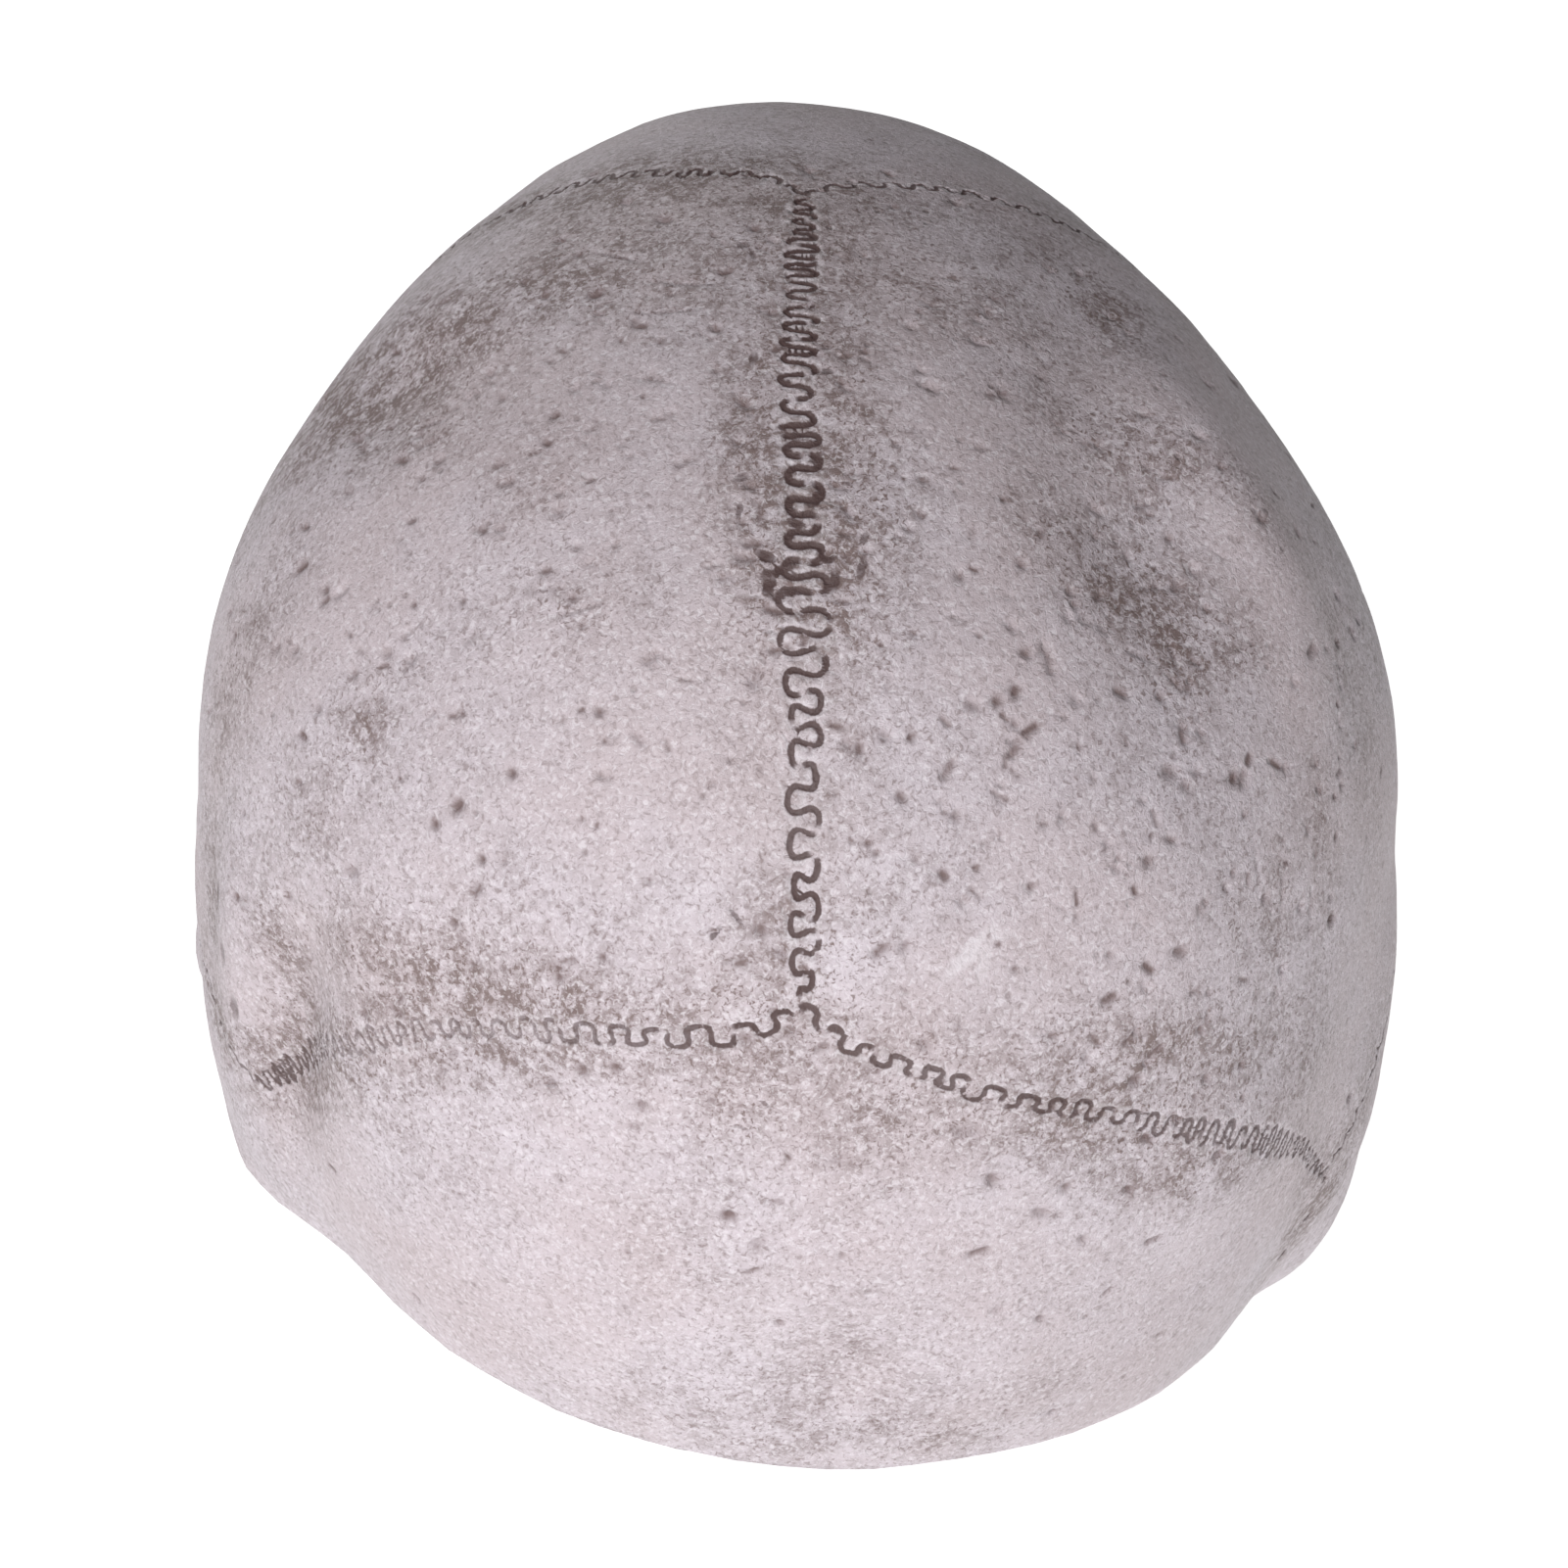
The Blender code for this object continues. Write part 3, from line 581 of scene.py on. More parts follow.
def vault(points):
    """The brain case: an egg, fuller behind and narrower in front."""
    x, y, z = points.T
    start, end = TAPER_START * OCCIPUT_REACH, -TAPER_END * FOREHEAD_REACH
    front = np.clip((y - start) / (end - start), 0, 1)
    width = VAULT_HALF_WIDTH * (1 - FRONT_TAPER * front**2 * (3 - 2 * front))
    reach = np.where(y < 0, FOREHEAD_REACH, OCCIPUT_REACH)
    height = np.where(z > 0, CROWN_RISE, BASE_DROP)
    return egg(points, np.stack([width, reach, height], -1), VAULT_POWER)


def dents(points):
    """How far each point of the brain case is pushed in by its soft dents."""
    unit = points / np.linalg.norm(points, axis=-1, keepdims=True)
    depth = np.zeros(len(points))
    for dent in DENTS:
        out = direction(dent.azimuth, dent.climb)
        level = direction(dent.azimuth + 90, 0)
        turn = math.radians(dent.turn)
        up = np.cross(out, level)
        long_way = math.cos(turn) * level + math.sin(turn) * up
        wide_way = math.cos(turn) * up - math.sin(turn) * level
        spread = (unit @ long_way / dent.length) ** 2 + (unit @ wide_way / dent.width) ** 2
        depth += np.where(unit @ out > 0, dent.depth * DENT_DEPTH * np.exp(-spread), 0)
    return depth


def tooth_frames(teeth, upward):
    """(centre, frame, radii) of each tooth of one side; upward is 1 for the upper row, else -1."""
    steps = np.linspace(0, math.pi / 2, 200)
    spans = np.hypot(np.diff(ARCH_HALF_WIDTH * np.sin(steps)), np.diff(ARCH_DEPTH * np.cos(steps)))
    run = np.concatenate([[0], np.cumsum(spans)])
    stretch = min(1.0, run[-1] / sum(tooth.width * TOOTH_WIDTH for tooth in teeth))
    frames = []
    passed = 0.0
    for tooth in teeth:
        width = tooth.width * TOOTH_WIDTH * stretch
        crown = tooth.crown * TOOTH_HEIGHT
        angle = float(np.interp(passed + width / 2, run, steps))
        passed += width
        out = np.array([math.sin(angle) * ARCH_DEPTH, -math.cos(angle) * ARCH_HALF_WIDTH, 0])
        out = out / np.linalg.norm(out)
        along = np.array([-out[1], out[0], 0])
        x = ARCH_HALF_WIDTH * math.sin(angle)
        y = ARCH_CENTRE * FACE_REACH - ARCH_DEPTH * math.cos(angle)
        z = BITE_LEVEL * CHIN_DROP + upward * (JAW_GAP + crown) / 2
        radii = np.array([width, TOOTH_THICKNESS, crown]) / 2
        frames.append((np.array([x, y, z]), np.stack([along, out, [0, 0, 1]], -1), radii))
    return frames


def skull(points, with_teeth):
    """Distance to the outer surface of the mask before it is pulled askew."""
    folded = np.stack([np.abs(points[:, 0]), points[:, 1], points[:, 2]], -1)
    distance = vault(points) + dents(points)

    def add_eggs(forms, sign, *sizes):
        for form in forms:
            where = folded if form.sides == 2 else points
            centre, radii = shares(form.centre, *sizes), shares(form.radii, *sizes)
            frame = aim(centre) if sign < 0 else np.eye(3)
            reach = radii.max() if sign < 0 else radii
            add_form(
                distance,
                where,
                centre,
                reach,
                form.blend * FILLET,
                sign,
                lambda local: egg(local @ frame, radii, form.power),
            )

    add_eggs(TEMPLES, -1)
    add_eggs(BONES, 1)
    add_eggs(BRAIN_SIDES, 1, (VAULT_HALF_WIDTH, OCCIPUT_REACH, BASE_DROP))
    for rod in BARS:
        where = folded if rod.sides == 2 else points
        start, end = shares(rod.start), shares(rod.end)
        first, last = rod.start_radius * FILLET, rod.end_radius * FILLET
        add_form(
            distance,
            where,
            (start + end) / 2,
            np.abs(end - start) / 2 + max(first, last),
            rod.blend * FILLET,
            1,
            lambda local: bar(local, end - start, first, last),
        )
    add_eggs(HOLLOWS, -1)
    if with_teeth:
        for centre, frame, radii in tooth_frames(UPPER_TEETH, 1) + tooth_frames(LOWER_TEETH, -1):
            add_form(
                distance,
                folded,
                centre,
                radii.max(),
                TOOTH_BLEND * FILLET,
                1,
                lambda local: egg(local @ frame, radii, TOOTH_POWER),
            )
    return distance


def surface(rays, depth, with_teeth):
    """Where each ray, followed inwards, first lies that deep in the skull."""
    eye = shares(RAY_EYE)
    radius = np.full(len(rays), RAY_START)
    for _ in range(RAY_STEPS):
        gap = skull(eye + rays * radius[:, None], with_teeth) + depth
        radius -= RAY_CARE * gap
    return eye + rays * radius[:, None]


def hem_fall(azimuth):
    """Degrees below level at which the rays' eye sees the rim, smooth round the head."""
    places = np.array([row.azimuth for row in HEM], float)
    falls = np.array([row.fall for row in HEM])
    places = np.concatenate([places[-2:] - 360, places, places[:2] + 360])
    falls = np.concatenate([falls[-2:], falls, falls[:2]])
    slopes = np.zeros(len(places))
    slopes[1:-1] = (falls[2:] - falls[:-2]) / (places[2:] - places[:-2])
    azimuth = azimuth % 360
    low = np.clip(np.searchsorted(places, azimuth, side="right") - 1, 1, len(places) - 3)
    span = places[low + 1] - places[low]
    t = (azimuth - places[low]) / span
    return (
        (2 * t**3 - 3 * t**2 + 1) * falls[low]
        + (t**3 - 2 * t**2 + t) * span * slopes[low]
        + (3 * t**2 - 2 * t**3) * falls[low + 1]
        + (t**3 - t**2) * span * slopes[low + 1]
    )


def grid_rays(rows):
    """Unit rays: first the crown's, then rows down to the rim, each round from the face."""
    turn = np.arange(COLUMNS) / COLUMNS
    azimuth = 360 * turn - np.degrees(FACE_CROWDING * np.sin(2 * math.pi * turn))
    share = np.linspace(0, 1, rows + 1)[1:, None]
    share = share + RIM_CROWDING * np.sin(math.pi * share)
    climb = 90 - share * (90 + hem_fall(azimuth))
    rays = direction(np.broadcast_to(azimuth, climb.shape), climb)
    return np.concatenate([[UP], rays.reshape(-1, 3)])


def grid_triangles(rows):
    """The triangles of such a grid, facing out."""
    column = np.arange(COLUMNS)
    after = (column + 1) % COLUMNS
    fan = np.stack([np.zeros_like(column), 1 + column, 1 + after], -1)
    parts = [fan]
    for row in range(rows - 1):
        top, low = 1 + row * COLUMNS, 1 + (row + 1) * COLUMNS
        parts.append(np.stack([top + column, low + column, low + after], -1))
        parts.append(np.stack([top + column, low + after, top + after], -1))
    return np.concatenate(parts)


def placed(points):
    """The points pulled askew as the mask is worn, with the inside of the crown at the origin."""
    x, y, z = points.T
    stretch = np.where(x > 0, LEFT_STRETCH, RIGHT_STRETCH)
    return np.stack([x * stretch, y, z + LEFT_LIFT * x - (CROWN_RISE - WALL)], -1)


def new_mesh(name, points, faces):
    mesh = bpy.data.meshes.new(name)
    mesh.from_pydata(np.array(points).tolist(), [], faces)
    mesh.update()
    return mesh


def cutter(middle, frame, half_width, half_height, taper):
    """Points and faces of a straight cutter through the wall, narrowed upwards by its taper."""
    points = []
    for reach in (-CUTTER_REACH, CUTTER_REACH):
        for step in range(CUTTER_SIDES):
            angle = 2 * math.pi * step / CUTTER_SIDES
            across = half_width * math.sin(angle) * (1 - taper * math.cos(angle))
            points.append(middle + frame @ np.array([across, reach, half_height * math.cos(angle)]))
    faces = [tuple(reversed(range(CUTTER_SIDES))), tuple(range(CUTTER_SIDES, 2 * CUTTER_SIDES))]
    for step in range(CUTTER_SIDES):
        after = (step + 1) % CUTTER_SIDES
        faces.append((step, after, after + CUTTER_SIDES, step + CUTTER_SIDES))
    return points, faces


def opening_cutters():
    """The cutters of both eyes, the nose and the mouth, as one mesh of four closed bodies."""
    eye, nose = shares(EYE_PLACE), shares(NOSE_PLACE)
    mouth = np.array([0, ARCH_CENTRE * FACE_REACH - ARCH_DEPTH, BITE_LEVEL * CHIN_DROP])
    level = np.diag([-1.0, -1.0, 1.0])
    left_eye = cutter(eye, aim(eye), EYE_HOLE_WIDTH / 2, EYE_HOLE_HEIGHT / 2, 0)
    right_eye = (
        [point * (-1, 1, 1) for point in left_eye[0]],
        [tuple(reversed(face)) for face in left_eye[1]],
    )
    nostrils = cutter(nose, aim(nose), NOSE_HOLE_WIDTH / 2, NOSE_HOLE_HEIGHT / 2, NOSE_TAPER)
    slit = cutter(mouth, level, MOUTH_SLIT_WIDTH / 2, JAW_GAP / 2 + BITE_TRIM, 0)
    points, faces = [], []
    for more_points, more_faces in (left_eye, right_eye, nostrils, slit):
        faces += [tuple(len(points) + corner for corner in face) for face in more_faces]
        points += more_points
    return new_mesh("opening_cutters", placed(np.array(points)), faces)

def on_vault(out):
    """Where rays from the middle of the brain case meet the skin."""
    radius = np.full(len(out), RAY_START)
    for _ in range(RAY_STEPS):
        radius -= RAY_CARE * skull(out * radius[:, None], False)
    return out * radius[:, None]


def unit(vectors):
    return vectors / np.linalg.norm(vectors, axis=-1, keepdims=True)


def tangents(out):
    """The level direction and the upward one on the skin, where it faces out."""
    level = unit(np.cross(UP, out))
    return level, np.cross(out, level)


def suture_samples(rows, rng):
    """Points along a suture with half width, depth, paint and wash, all in metres or shares."""
    def between_stops(at):
        return np.stack([np.interp(at, run, stops[:, axis]) for axis in range(3)], -1)

    table = np.array(rows, float)
    stops = direction(table[:, 0], table[:, 1])
    chords = np.linalg.norm(np.diff(on_vault(stops), axis=0), axis=-1)
    run = np.concatenate([[0], np.cumsum(chords)])
    places = np.arange(0, run[-1], FINE_STEP)
    values = [np.interp(places, run, column) for column in table[:, 2:].T]
    sway, pitch, half_width, depth, fold, paint, wash = values
    knots = np.arange(0, run[-1] + GAP_SPACING, GAP_SPACING / 6)
    wander = np.interp(places, knots, 1 + WAVE_WANDER * (2 * rng.random(len(knots)) - 1))
    drift = np.interp(places, knots, 1 + WAVE_WANDER * (2 * rng.random(len(knots)) - 1))
    phase = np.cumsum(2 * math.pi * FINE_STEP / (pitch * drift / MILLI))
    along = places - fold * pitch / MILLI * np.sin(2 * phase)
    across = sway * wander / MILLI * np.sin(phase)
    route = unit(between_stops(along))
    forward = unit(between_stops(places + LOOK_AHEAD) - between_stops(places - LOOK_AHEAD))
    side = unit(np.cross(route, forward))
    reach = np.interp(along, run, np.linalg.norm(on_vault(stops), axis=-1))
    line = unit(route * reach[:, None] + side * across[:, None])
    # The samples are thinned to even steps along the wave.
    span = np.linalg.norm(np.diff(line * reach[:, None], axis=0), axis=-1)
    length = np.concatenate([[0], np.cumsum(span)])
    picks = np.searchsorted(length, np.arange(0, length[-1], MARK_STEP))
    line, places = line[picks], places[picks]
    gap_knots = np.arange(0, length[-1] + GAP_SPACING, GAP_SPACING)
    gap_places = gap_knots + GAP_SPACING * 0.5 * rng.random(len(gap_knots))
    nearest = np.abs(length[picks][:, None] - gap_places[None, :]).min(1)
    strength = np.clip(nearest / GAP_LENGTH, 0, 1) ** 2
    pressure = 0.75 + 0.25 * np.interp(length[picks], gap_knots, 2 * rng.random(len(gap_knots)) - 1)
    shape = np.stack(
        [
            half_width[picks] / MILLI * (0.8 + 0.2 * strength),
            depth[picks] / MILLI * strength * pressure,
            paint[picks] * strength * (0.6 + 0.4 * pressure),
            wash[picks],
        ],
        -1,
    )
    return on_vault(line), shape


def stroke(out, turn, length, count):
    """Directions of points along a short stroke on the skin, round its middle direction."""
    level, up = tangents(out)
    way = math.cos(turn) * level + math.sin(turn) * up
    steps = np.linspace(-0.5, 0.5, count)
    return unit(out + way * (steps * length / VAULT_HALF_WIDTH)[:, None])


def blot_samples():
    lines, shapes = [], []
    for blot in BLOTS:
        out = direction(blot.azimuth, blot.climb)
        count = max(2, int(blot.length / 0.3))
        lines.append(stroke(out, math.radians(blot.turn), blot.length / MILLI, count))
        taper = 1 - 0.5 * np.abs(np.linspace(-1, 1, count)) ** 2
        shape = (blot.half_width / MILLI, blot.depth / MILLI, blot.paint, 0.0)
        shapes.append(np.array(shape) * taper[:, None])
    return on_vault(np.concatenate(lines)), np.concatenate(shapes)


def pit_samples(rng):
    lines, shapes = [], []
    for patch in PATCHES:
        middle = direction(patch.azimuth, patch.climb)
        level, up = tangents(middle)
        for _ in range(patch.count):
            spread = math.radians(patch.spread) * rng.normal(size=2)
            out = unit(middle + level * spread[0] + up * spread[1])
            lean = math.radians(patch.lean + 25 * rng.normal())
            small = rng.random() ** 2
            length = PIT_LENGTH[0] + (PIT_LENGTH[1] - PIT_LENGTH[0]) * rng.random() ** 3
            count = 1 + int(length / 0.0003)
            lines.append(stroke(out, lean, length, count))
            shape = (
                PIT_HALF_WIDTH[0] + (PIT_HALF_WIDTH[1] - PIT_HALF_WIDTH[0]) * small,
                PIT_DEPTH[0] + (PIT_DEPTH[1] - PIT_DEPTH[0]) * small,
                PIT_STAIN_AND_SHADE[0] + (PIT_STAIN_AND_SHADE[1] - PIT_STAIN_AND_SHADE[0]) * rng.random(),
                0.0,
            )
            shapes.append(np.tile(shape, (count, 1)))
    return on_vault(np.concatenate(lines)), np.concatenate(shapes)


def all_marks():
    """Every carved or painted mark: where its samples lie and their shapes."""
    rng = np.random.default_rng(STREW_SEED)
    groups = [suture_samples(rows, rng) for rows in SUTURES.values()]
    sutures = sum(len(points) for points, _ in groups)
    groups.append(blot_samples())
    crisp = sutures + len(groups[-1][0])
    groups.append(pit_samples(rng))
    points = np.concatenate([group[0] for group in groups])
    shapes = np.concatenate([group[1] for group in groups])
    return points, shapes, sutures, crisp


def tree_of(points):
    tree = KDTree(len(points))
    for index, point in enumerate(points):
        tree.insert(point, index)
    tree.balance()
    return tree


def nearest(tree, points):
    """(index, distance) of the sample nearest to each point."""
    found = [tree.find(point)[1:] for point in points]
    return np.array([item[0] for item in found]), np.array([item[1] for item in found])


def wanted_edge(points, tree, shapes):
    """The longest edge allowed round each point."""
    x, y, z = points.T
    face = (y < -0.35 * FACE_REACH) & (z < 0.10 * CHIN_DROP)
    teeth = face & (np.abs(z - BITE_LEVEL * CHIN_DROP) < 0.95 * TOOTH_HEIGHT + JAW_GAP)
    teeth &= y < (ARCH_CENTRE * FACE_REACH - 0.1 * ARCH_DEPTH)
    wanted = np.where(teeth, TEETH_EDGE, np.where(face, FACE_EDGE, VAULT_EDGE))
    index, gap = nearest(tree, points)
    beyond = np.maximum(gap - MARK_SKIRT * shapes[index, 0], 0)
    fine = np.maximum(MARK_EDGE, 0.95 * shapes[index, 0])
    return np.minimum(wanted, fine + EDGE_GROWTH * beyond)


SPLITS = {
    0: ((0, 1, 2),),
    1: ((0, 3, 2), (3, 1, 2)),
    2: ((0, 1, 4), (0, 4, 2)),
    3: ((3, 1, 4), (0, 3, 4), (0, 4, 2)),
    4: ((0, 1, 5), (5, 1, 2)),
    5: ((0, 3, 5), (3, 1, 2), (3, 2, 5)),
    6: ((4, 2, 5), (0, 1, 4), (0, 4, 5)),
    7: ((0, 3, 5), (3, 1, 4), (5, 4, 2), (3, 4, 5)),
}


def refined(rays, triangles, rim, tree, shapes):
    """The outer skin with its long edges split until each is short enough for what lies there."""
    points = surface(rays, 0.0, True)
    on_rim = np.zeros(len(points), bool)
    on_rim[rim] = True
    for _ in range(REFINE_PASSES):
        pairs = np.sort(triangles[:, [0, 1, 1, 2, 2, 0]].reshape(-1, 2), axis=1)
        keys, inverse = np.unique(pairs[:, 0] * len(points) + pairs[:, 1], return_inverse=True)
        inverse = inverse.reshape(-1, 3)
        first, second = keys // len(points), keys % len(points)
        length = np.linalg.norm(points[first] - points[second], axis=-1)
        free = ~(on_rim[first] & on_rim[second])
        split = np.zeros(len(keys), bool)
        asked = np.flatnonzero(free & (length > MARK_EDGE))
        middle = (points[first[asked]] + points[second[asked]]) / 2
        split[asked] = length[asked] > wanted_edge(middle, tree, shapes)
        longest = inverse[np.arange(len(inverse)), length[inverse].argmax(1)]
        for _ in range(3):
            split[longest[split[inverse].any(1)]] = True
            split &= free
        if not split.any():
            break
        fresh = np.full(len(keys), -1)
        fresh[split] = len(points) + np.arange(split.sum())
        new_rays = unit(rays[first[split]] + rays[second[split]])
        rays = np.concatenate([rays, new_rays])
        points = np.concatenate([points, surface(new_rays, 0.0, True)])
        on_rim = np.concatenate([on_rim, np.zeros(split.sum(), bool)])
        corners = np.concatenate([triangles, fresh[inverse]], axis=1)
        case = split[inverse] @ np.array([1, 2, 4])
        parts = []
        for value, pattern in SPLITS.items():
            chosen = corners[case == value]
            parts += [chosen[:, list(corner)] for corner in pattern]
        triangles = np.concatenate(parts)
    return points, triangles


def normals(points, triangles):
    a, b, c = points[triangles[:, 0]], points[triangles[:, 1]], points[triangles[:, 2]]
    across = np.cross(b - a, c - a)
    total = np.zeros_like(points)
    for corner in range(3):
        np.add.at(total, triangles[:, corner], across)
    return unit(total)


def lumps(points):
    height = np.zeros(len(points))
    for lump in LUMPS:
        height += lump.height * np.array([noise.noise(point / lump.size) for point in points])
    return height


def stain_and_shade_washes(points):
    """How strongly the brown-grey stains and painted shade of the table cover each point, from 0 to 1."""
    bare = np.ones(len(points))
    for wash in STAIN_AND_SHADE_WASHES:
        out = direction(wash.azimuth, wash.climb)
        middle = on_vault(out[None, :])[0]
        level, up = tangents(out)
        turn = math.radians(wash.turn)
        away = points - middle
        long_way = away @ (math.cos(turn) * level + math.sin(turn) * up) / (wash.length / 2 / MILLI)
        short_way = away @ (math.cos(turn) * up - math.sin(turn) * level) / (wash.half_width / MILLI)
        deep = np.clip(1 + away @ out / WASH_DEPTH, 0, 1)
        bare *= 1 - wash.strength * deep * np.exp(-(long_way**2) - short_way**2)
    return 1 - bare


def carved(points, out, tree, shapes, sutures, crisp, suture_tree):
    """The points with lumps and marks carved in, and what the paint needs to know at each."""
    index, gap = nearest(tree, points)
    half_width, depth, paint, _ = shapes[index].T
    share = gap / half_width
    groove = np.clip(1.35 - share**2, 0, 1)
    groove = groove**2 * (3 - 2 * groove)
    is_suture = index < sutures
    is_crisp = index < crisp
    dimple = np.exp(-1.4 * share**2)
    lip = np.where(is_suture, np.exp(-(((share - 1.75) / 0.45) ** 2)), 0)
    x, y, z = points.T
    on_face = np.clip((-y - 0.4 * FACE_REACH) / FACE_BLEND, 0, 1) * np.clip(1 - z / FACE_BLEND, 0, 1)
    push = lumps(points) * (1 - on_face) + lip * LIP_HEIGHT * depth
    push -= np.where(is_crisp, groove, dimple) * depth
    wash_index, wash_gap = nearest(suture_tree, points)
    wash = 0.7 * shapes[wash_index, 3] * np.exp(-((wash_gap / WASH_REACH) ** 2))
    wash = 1 - (1 - wash) * (1 - stain_and_shade_washes(points))
    # Painted shade: the wash deepens in the dents in step with their depth, and thins on the ridges as
    # painted light.
    wash = wash + 0.25 * np.clip(dents(points) / DENT_DEPTH, -0.3, 1)
    values = {
        "mark_share": np.where(is_crisp, np.minimum(share, FAR_SHARE), FAR_SHARE),
        "mark_paint": np.where(is_crisp, paint, 0),
        # The pits' darkness is partly stain and partly painted shade, deepest in the middle of each
        # dimple.
        "pit_stain_and_shade": np.where(is_crisp, 0, dimple * paint),
        "wash": wash,
        "lip": lip,
    }
    return points + out * push[:, None], values


def rim_faces(outer_rim, inner_rim, first_new):
    """The rounded cut edge between the two skins: faces that face out, and how many new rows."""
    rows = [outer_rim]
    for step in range(RIM_STEPS - 1):
        rows.append(first_new + step * COLUMNS + np.arange(COLUMNS))
    rows.append(inner_rim)
    faces = []
    for upper, lower in zip(rows[:-1], rows[1:]):
        u, l = np.roll(upper, -1), np.roll(lower, -1)
        faces.append(np.stack([u, upper, lower], -1))
        faces.append(np.stack([u, lower, l], -1))
    return np.concatenate(faces)


def build_skin(tree, shapes, sutures, crisp, suture_tree):
    """The finely carved skin as a mesh, with its paint attributes."""
    rays = grid_rays(OUTER_ROWS)
    rim = np.arange(len(rays) - COLUMNS, len(rays))
    outer, outer_faces = refined(rays, grid_triangles(OUTER_ROWS), rim, tree, shapes)
    out = normals(outer, outer_faces)
    outer, values = carved(outer, out, tree, shapes, sutures, crisp, suture_tree)
    inner = surface(grid_rays(INNER_ROWS), WALL, False)
    inner_faces = grid_triangles(INNER_ROWS)[:, ::-1] + len(outer)
    inner_rim = len(outer) + np.arange(len(inner) - COLUMNS, len(inner))
    first_new = len(outer) + len(inner)
    edge_rows = []
    low = unit(outer[rim] - shares(RAY_EYE))
    fall = unit(np.cross(np.roll(outer[rim], 1, 0) - np.roll(outer[rim], -1, 0), low))
    for step in range(1, RIM_STEPS):
        share = step / RIM_STEPS
        middle = outer[rim] * (1 - share) + inner[-COLUMNS:] * share
        edge_rows.append(middle + fall * RIM_ROUNDING * math.sin(math.pi * share))
    faces = np.concatenate([outer_faces, inner_faces, rim_faces(rim, inner_rim, first_new)])
    points = np.concatenate([outer, inner] + edge_rows)
    mesh = new_mesh("latex_skin", placed(points), faces.tolist())
    rest = np.zeros(len(points) - len(outer))
    for name in values:
        values[name] = np.concatenate([values[name], rest])
    values["mark_share"][len(outer):] = FAR_SHARE
    counts = (len(outer), len(inner), len(rest) - len(inner))
    values["inside"] = np.repeat((0.0, 1.0, 0.5), counts)
    for name, value in values.items():
        mesh.attributes.new(name, "FLOAT", "POINT").data.foreach_set("value", value.astype(np.float32))
    return mesh


class Nodes:
    """Short ways to add and join shader nodes."""

    def __init__(self, material):
        material.use_nodes = True
        self.tree = material.node_tree
        self.shader = self.tree.nodes["Principled BSDF"]

    def add(self, kind, inputs=None, **settings):
        node = self.tree.nodes.new(kind)
        for name, value in settings.items():
            setattr(node, name, value)
        for name, value in (inputs or {}).items():
            if isinstance(value, bpy.types.NodeSocket):
                self.tree.links.new(value, node.inputs[name])
            else:
                node.inputs[name].default_value = value
        return node

    def link(self, source, target):
        self.tree.links.new(source, target)

    def value(self, name):
        return self.add("ShaderNodeAttribute", attribute_name=name).outputs["Fac"]

    def math(self, operation, first, second=0.0, clamp=False):
        inputs = {0: first, 1: second}
        return self.add("ShaderNodeMath", inputs, operation=operation, use_clamp=clamp).outputs[0]

    def times(self, first, second, clamp=False):
        return self.math("MULTIPLY", first, second, clamp)

    def plus(self, first, second):
        return self.math("ADD", first, second)

    def noise(self, place, scale, detail=3.0, roughness=0.55, distortion=0.0):
        inputs = {"Vector": place, "Scale": scale, "Detail": detail, "Roughness": roughness}
        return self.add("ShaderNodeTexNoise", {**inputs, "Distortion": distortion}).outputs["Fac"]

    def ramp(self, value, low, high):
        """0 below low, 1 above high and smooth between."""
        inputs = {"Value": value, "From Min": low, "From Max": high}
        return self.add("ShaderNodeMapRange", inputs, interpolation_type="SMOOTHSTEP").outputs["Result"]

    def mix(self, amount, first, second, blend="MIX"):
        node = self.add("ShaderNodeMix", data_type="RGBA", blend_type=blend)
        for socket, value in ((0, amount), (6, first), (7, second)):
            if isinstance(value, bpy.types.NodeSocket):
                self.tree.links.new(value, node.inputs[socket])
            else:
                node.inputs[socket].default_value = value
        return node.outputs[2]


# Colours of the skin and its paint, as linear red, green and blue.
SKIN_COLOUR = (0.660, 0.590, 0.640, 1.0)
WARM_SKIN_COLOUR = (0.600, 0.515, 0.545, 1.0)
RUBBED_COLOUR = (0.800, 0.750, 0.790, 1.0)
# The washes' colour serves both the stains and the painted shade.
STAIN_AND_SHADE_COLOUR = (0.225, 0.166, 0.160, 1.0)
PAINT_COLOUR = (0.105, 0.066, 0.064, 1.0)
# The pits' colour is partly their brown stain and partly painted shade.
PIT_STAIN_AND_SHADE_COLOUR = (0.215, 0.155, 0.153, 1.0)
INSIDE_COLOUR = (0.560, 0.500, 0.520, 1.0)
SKIN_ROUGHNESS = 0.52


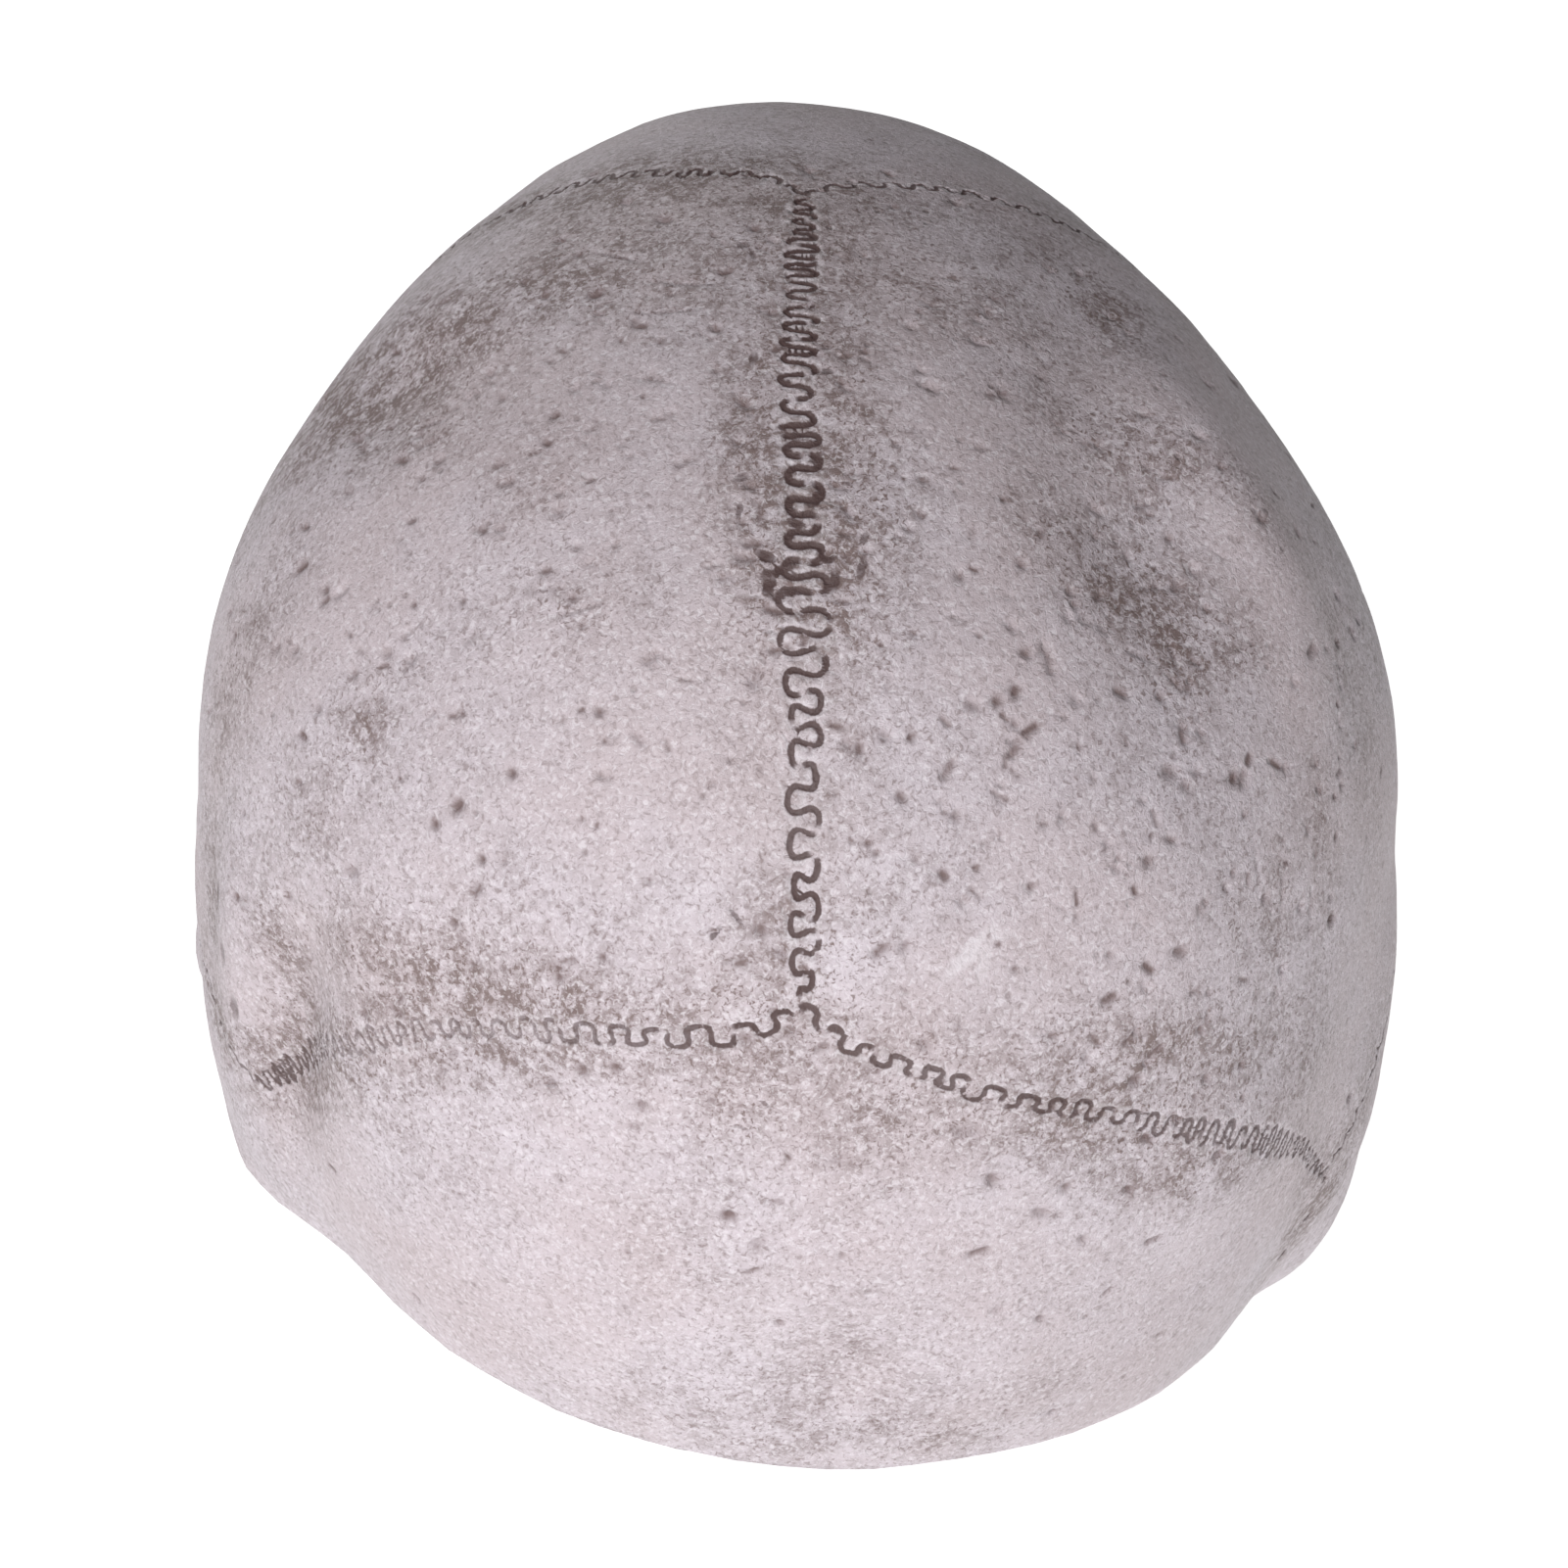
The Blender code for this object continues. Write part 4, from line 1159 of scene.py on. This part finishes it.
def painted_latex():
    material = bpy.data.materials.new("painted_latex")
    n = Nodes(material)
    place = n.add("ShaderNodeTexCoord").outputs["Object"]
    share, paint, pits = n.value("mark_share"), n.value("mark_paint"), n.value("pit_stain_and_shade")
    wash, lip, inside = n.value("wash"), n.value("lip"), n.value("inside")

    broad = n.noise(place, 24.0, 4.0, 0.6)
    patchy = n.noise(place, 85.0, 5.0, 0.65, 0.5)
    grainy = n.noise(place, 520.0, 4.0, 0.7, 0.4)
    stipple = n.noise(place, 1150.0, 3.0, 0.65, 0.8)

    # The skin's own colour, then the washes, which lie in specks rather than as an even film. The
    # washes are brown-grey stains, and painted shade in the dents, over the crown's top, down the left
    # edge, at the upper right and along the hem.
    skin = n.mix(n.ramp(broad, 0.35, 0.65), WARM_SKIN_COLOUR, SKIN_COLOUR)
    specks = n.times(n.ramp(patchy, 0.22, 0.64), n.ramp(grainy, 0.38, 0.62))
    film = n.times(n.ramp(patchy, 0.20, 0.80), 0.42)
    spread = n.times(n.ramp(broad, 0.40, 0.68), 0.30)
    amount = n.plus(n.times(wash, 1.10), n.plus(spread, 0.12))
    cover = n.times(amount, n.plus(n.times(specks, 0.85), film), True)
    colour = n.mix(cover, skin, STAIN_AND_SHADE_COLOUR)
    dustiness = n.plus(n.times(amount, 0.85), 0.30)
    dust = n.times(n.ramp(stipple, 0.53, 0.66), dustiness, True)
    colour = n.mix(dust, colour, STAIN_AND_SHADE_COLOUR)
    chalk = n.times(n.ramp(stipple, 0.47, 0.36), 0.55)
    colour = n.mix(chalk, colour, RUBBED_COLOUR)

    # Small pits too fine to carve, then the carved ones, darkened partly by their brown stain and
    # partly by painted shade in the hollows.
    cells = n.add("ShaderNodeTexVoronoi", {"Vector": place, "Scale": 360.0, "Randomness": 1.0})
    pick = n.add("ShaderNodeSeparateColor", {"Color": cells.outputs["Color"]}).outputs["Red"]
    some = n.times(n.ramp(pick, 0.66, 0.74), n.ramp(patchy, 0.44, 0.60))
    pit = n.times(n.ramp(cells.outputs["Distance"], 0.30, 0.10), some, True)
    colour = n.mix(n.times(pit, 0.45), colour, PIT_STAIN_AND_SHADE_COLOUR)
    colour = n.mix(n.times(pits, 1.45, True), colour, PIT_STAIN_AND_SHADE_COLOUR)

    # The painted grooves and blots, with ragged edges, and the light lips beside them.
    ragged = n.times(n.math("SUBTRACT", n.noise(place, 640.0, 4.0, 0.7), 0.5), 1.5)
    edge = n.plus(share, ragged)
    rubbed = n.times(n.ramp(edge, 1.70, 0.40), n.times(paint, -1.0), True)
    colour = n.mix(rubbed, colour, RUBBED_COLOUR)
    colour = n.mix(n.times(lip, 0.40), colour, RUBBED_COLOUR)
    groove = n.times(n.ramp(edge, 1.35, 0.85), n.ramp(paint, 0.0, 0.95), True)
    colour = n.mix(groove, colour, PAINT_COLOUR)
    colour = n.mix(n.ramp(inside, 0.6, 0.9), colour, INSIDE_COLOUR)
    n.link(colour, n.shader.inputs["Base Color"])

    height = n.times(stipple, 0.00034)
    height = n.plus(height, n.times(n.noise(place, 260.0, 3.0, 0.6), 0.00018))
    height = n.math("SUBTRACT", height, n.times(pit, 0.00020))
    bump = n.add("ShaderNodeBump", {"Height": height, "Strength": 0.9, "Distance": 1.0})
    n.link(bump.outputs["Normal"], n.shader.inputs["Normal"])
    n.shader.inputs["Roughness"].default_value = SKIN_ROUGHNESS
    n.shader.inputs["Specular IOR Level"].default_value = 0.30
    return material


def plain_material(name, colour, strength):
    material = bpy.data.materials.new(name)
    n = Nodes(material)
    n.shader.inputs["Base Color"].default_value = colour
    n.shader.inputs["Roughness"].default_value = 0.9
    n.shader.inputs["Emission Color"].default_value = (1.0, 1.0, 1.0, 1.0)
    n.shader.inputs["Emission Strength"].default_value = strength
    return material


def add_object(name, data):
    thing = bpy.data.objects.new(name, data)
    bpy.context.scene.collection.objects.link(thing)
    return thing


def view_axes(azimuth, climb):
    """Right, up and back of a camera that looks at the mask from an azimuth and a climb."""
    around, rise = math.radians(azimuth), math.radians(climb)
    back = Vector((math.sin(around) * math.cos(rise), -math.cos(around) * math.cos(rise), math.sin(rise)))
    right = Vector((0, 0, 1)).cross(back).normalized()
    return right, back.cross(right), back


def add_camera():
    right, up, back = view_axes(VIEW_AZIMUTH, VIEW_CLIMB)
    data = bpy.data.cameras.new("photo_camera")
    camera = add_object("photo_camera", data)
    place = Vector(VIEW_AIM) + VIEW_DISTANCE * back
    camera.matrix_world = Matrix.Translation(place) @ Matrix((right, up, back)).transposed().to_4x4()
    data.sensor_width = SENSOR_WIDTH
    data.lens = VIEW_DISTANCE * SENSOR_WIDTH / (VIEW_SCALE * PICTURE_WIDTH)
    data.shift_x = (PICTURE_WIDTH / 2 - AIM_IN_PICTURE[0]) / PICTURE_WIDTH
    data.shift_y = (AIM_IN_PICTURE[1] - PICTURE_WIDTH / 2) / PICTURE_WIDTH
    data.clip_end = 50
    bpy.context.scene.camera = camera


# The lamps: where each is seen from the mask, in degrees, how far away, its size and its power.
Lamp = namedtuple("Lamp", "name azimuth climb distance size power")
LAMPS = (
    Lamp("key", 163, 33, 1.6, 0.42, 18.5),
    Lamp("face_fill", 20, 25, 1.8, 1.2, 7.0),
)
WORLD_STRENGTH = 0.03


def add_lamps():
    for lamp in LAMPS:
        right, up, back = view_axes(lamp.azimuth, lamp.climb)
        data = bpy.data.lights.new(lamp.name, "AREA")
        data.shape = "DISK"
        data.size = lamp.size
        data.energy = lamp.power
        light = add_object(lamp.name, data)
        place = Vector(VIEW_AIM) + lamp.distance * back
        light.matrix_world = Matrix.Translation(place) @ Matrix((right, up, back)).transposed().to_4x4()
    world = bpy.data.worlds.new("studio")
    world.use_nodes = True
    world.node_tree.nodes["Background"].inputs["Color"].default_value = (1.0, 1.0, 1.0, 1.0)
    world.node_tree.nodes["Background"].inputs["Strength"].default_value = WORLD_STRENGTH
    bpy.context.scene.world = world
    bpy.context.scene.view_settings.view_transform = "Standard"


def main():
    points, shapes, sutures, crisp = all_marks()
    tree = tree_of(points)
    mesh = build_skin(tree, shapes, sutures, crisp, tree_of(points[:sutures]))
    mask = add_object("skull_skin", mesh)
    cutters = add_object("opening_cutters", opening_cutters())
    cut = mask.modifiers.new("openings", "BOOLEAN")
    cut.operation = "DIFFERENCE"
    cut.solver = "MANIFOLD"
    cut.object = cutters
    graph = bpy.context.evaluated_depsgraph_get()
    graph.update()
    whole = bpy.data.meshes.new_from_object(mask.evaluated_get(graph), depsgraph=graph)
    mask.modifiers.clear()
    mask.data = whole
    bpy.data.objects.remove(cutters, do_unlink=True)
    whole.materials.clear()
    whole.materials.append(painted_latex())
    whole.shade_smooth()
    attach(mask, "root")
    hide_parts("latex_mask")

    floor = add_object("floor", new_mesh("floor", FLOOR_CORNERS, [(0, 1, 2, 3)]))
    floor.data.materials.append(plain_material("pale_floor", (0.9, 0.9, 0.9, 1.0), 0.90))
    add_camera()
    add_lamps()


FLOOR_HALF = 20.0
FLOOR_CORNERS = [
    (-FLOOR_HALF, -FLOOR_HALF, FLOOR_LEVEL),
    (FLOOR_HALF, -FLOOR_HALF, FLOOR_LEVEL),
    (FLOOR_HALF, FLOOR_HALF, FLOOR_LEVEL),
    (-FLOOR_HALF, FLOOR_HALF, FLOOR_LEVEL),
]

main()
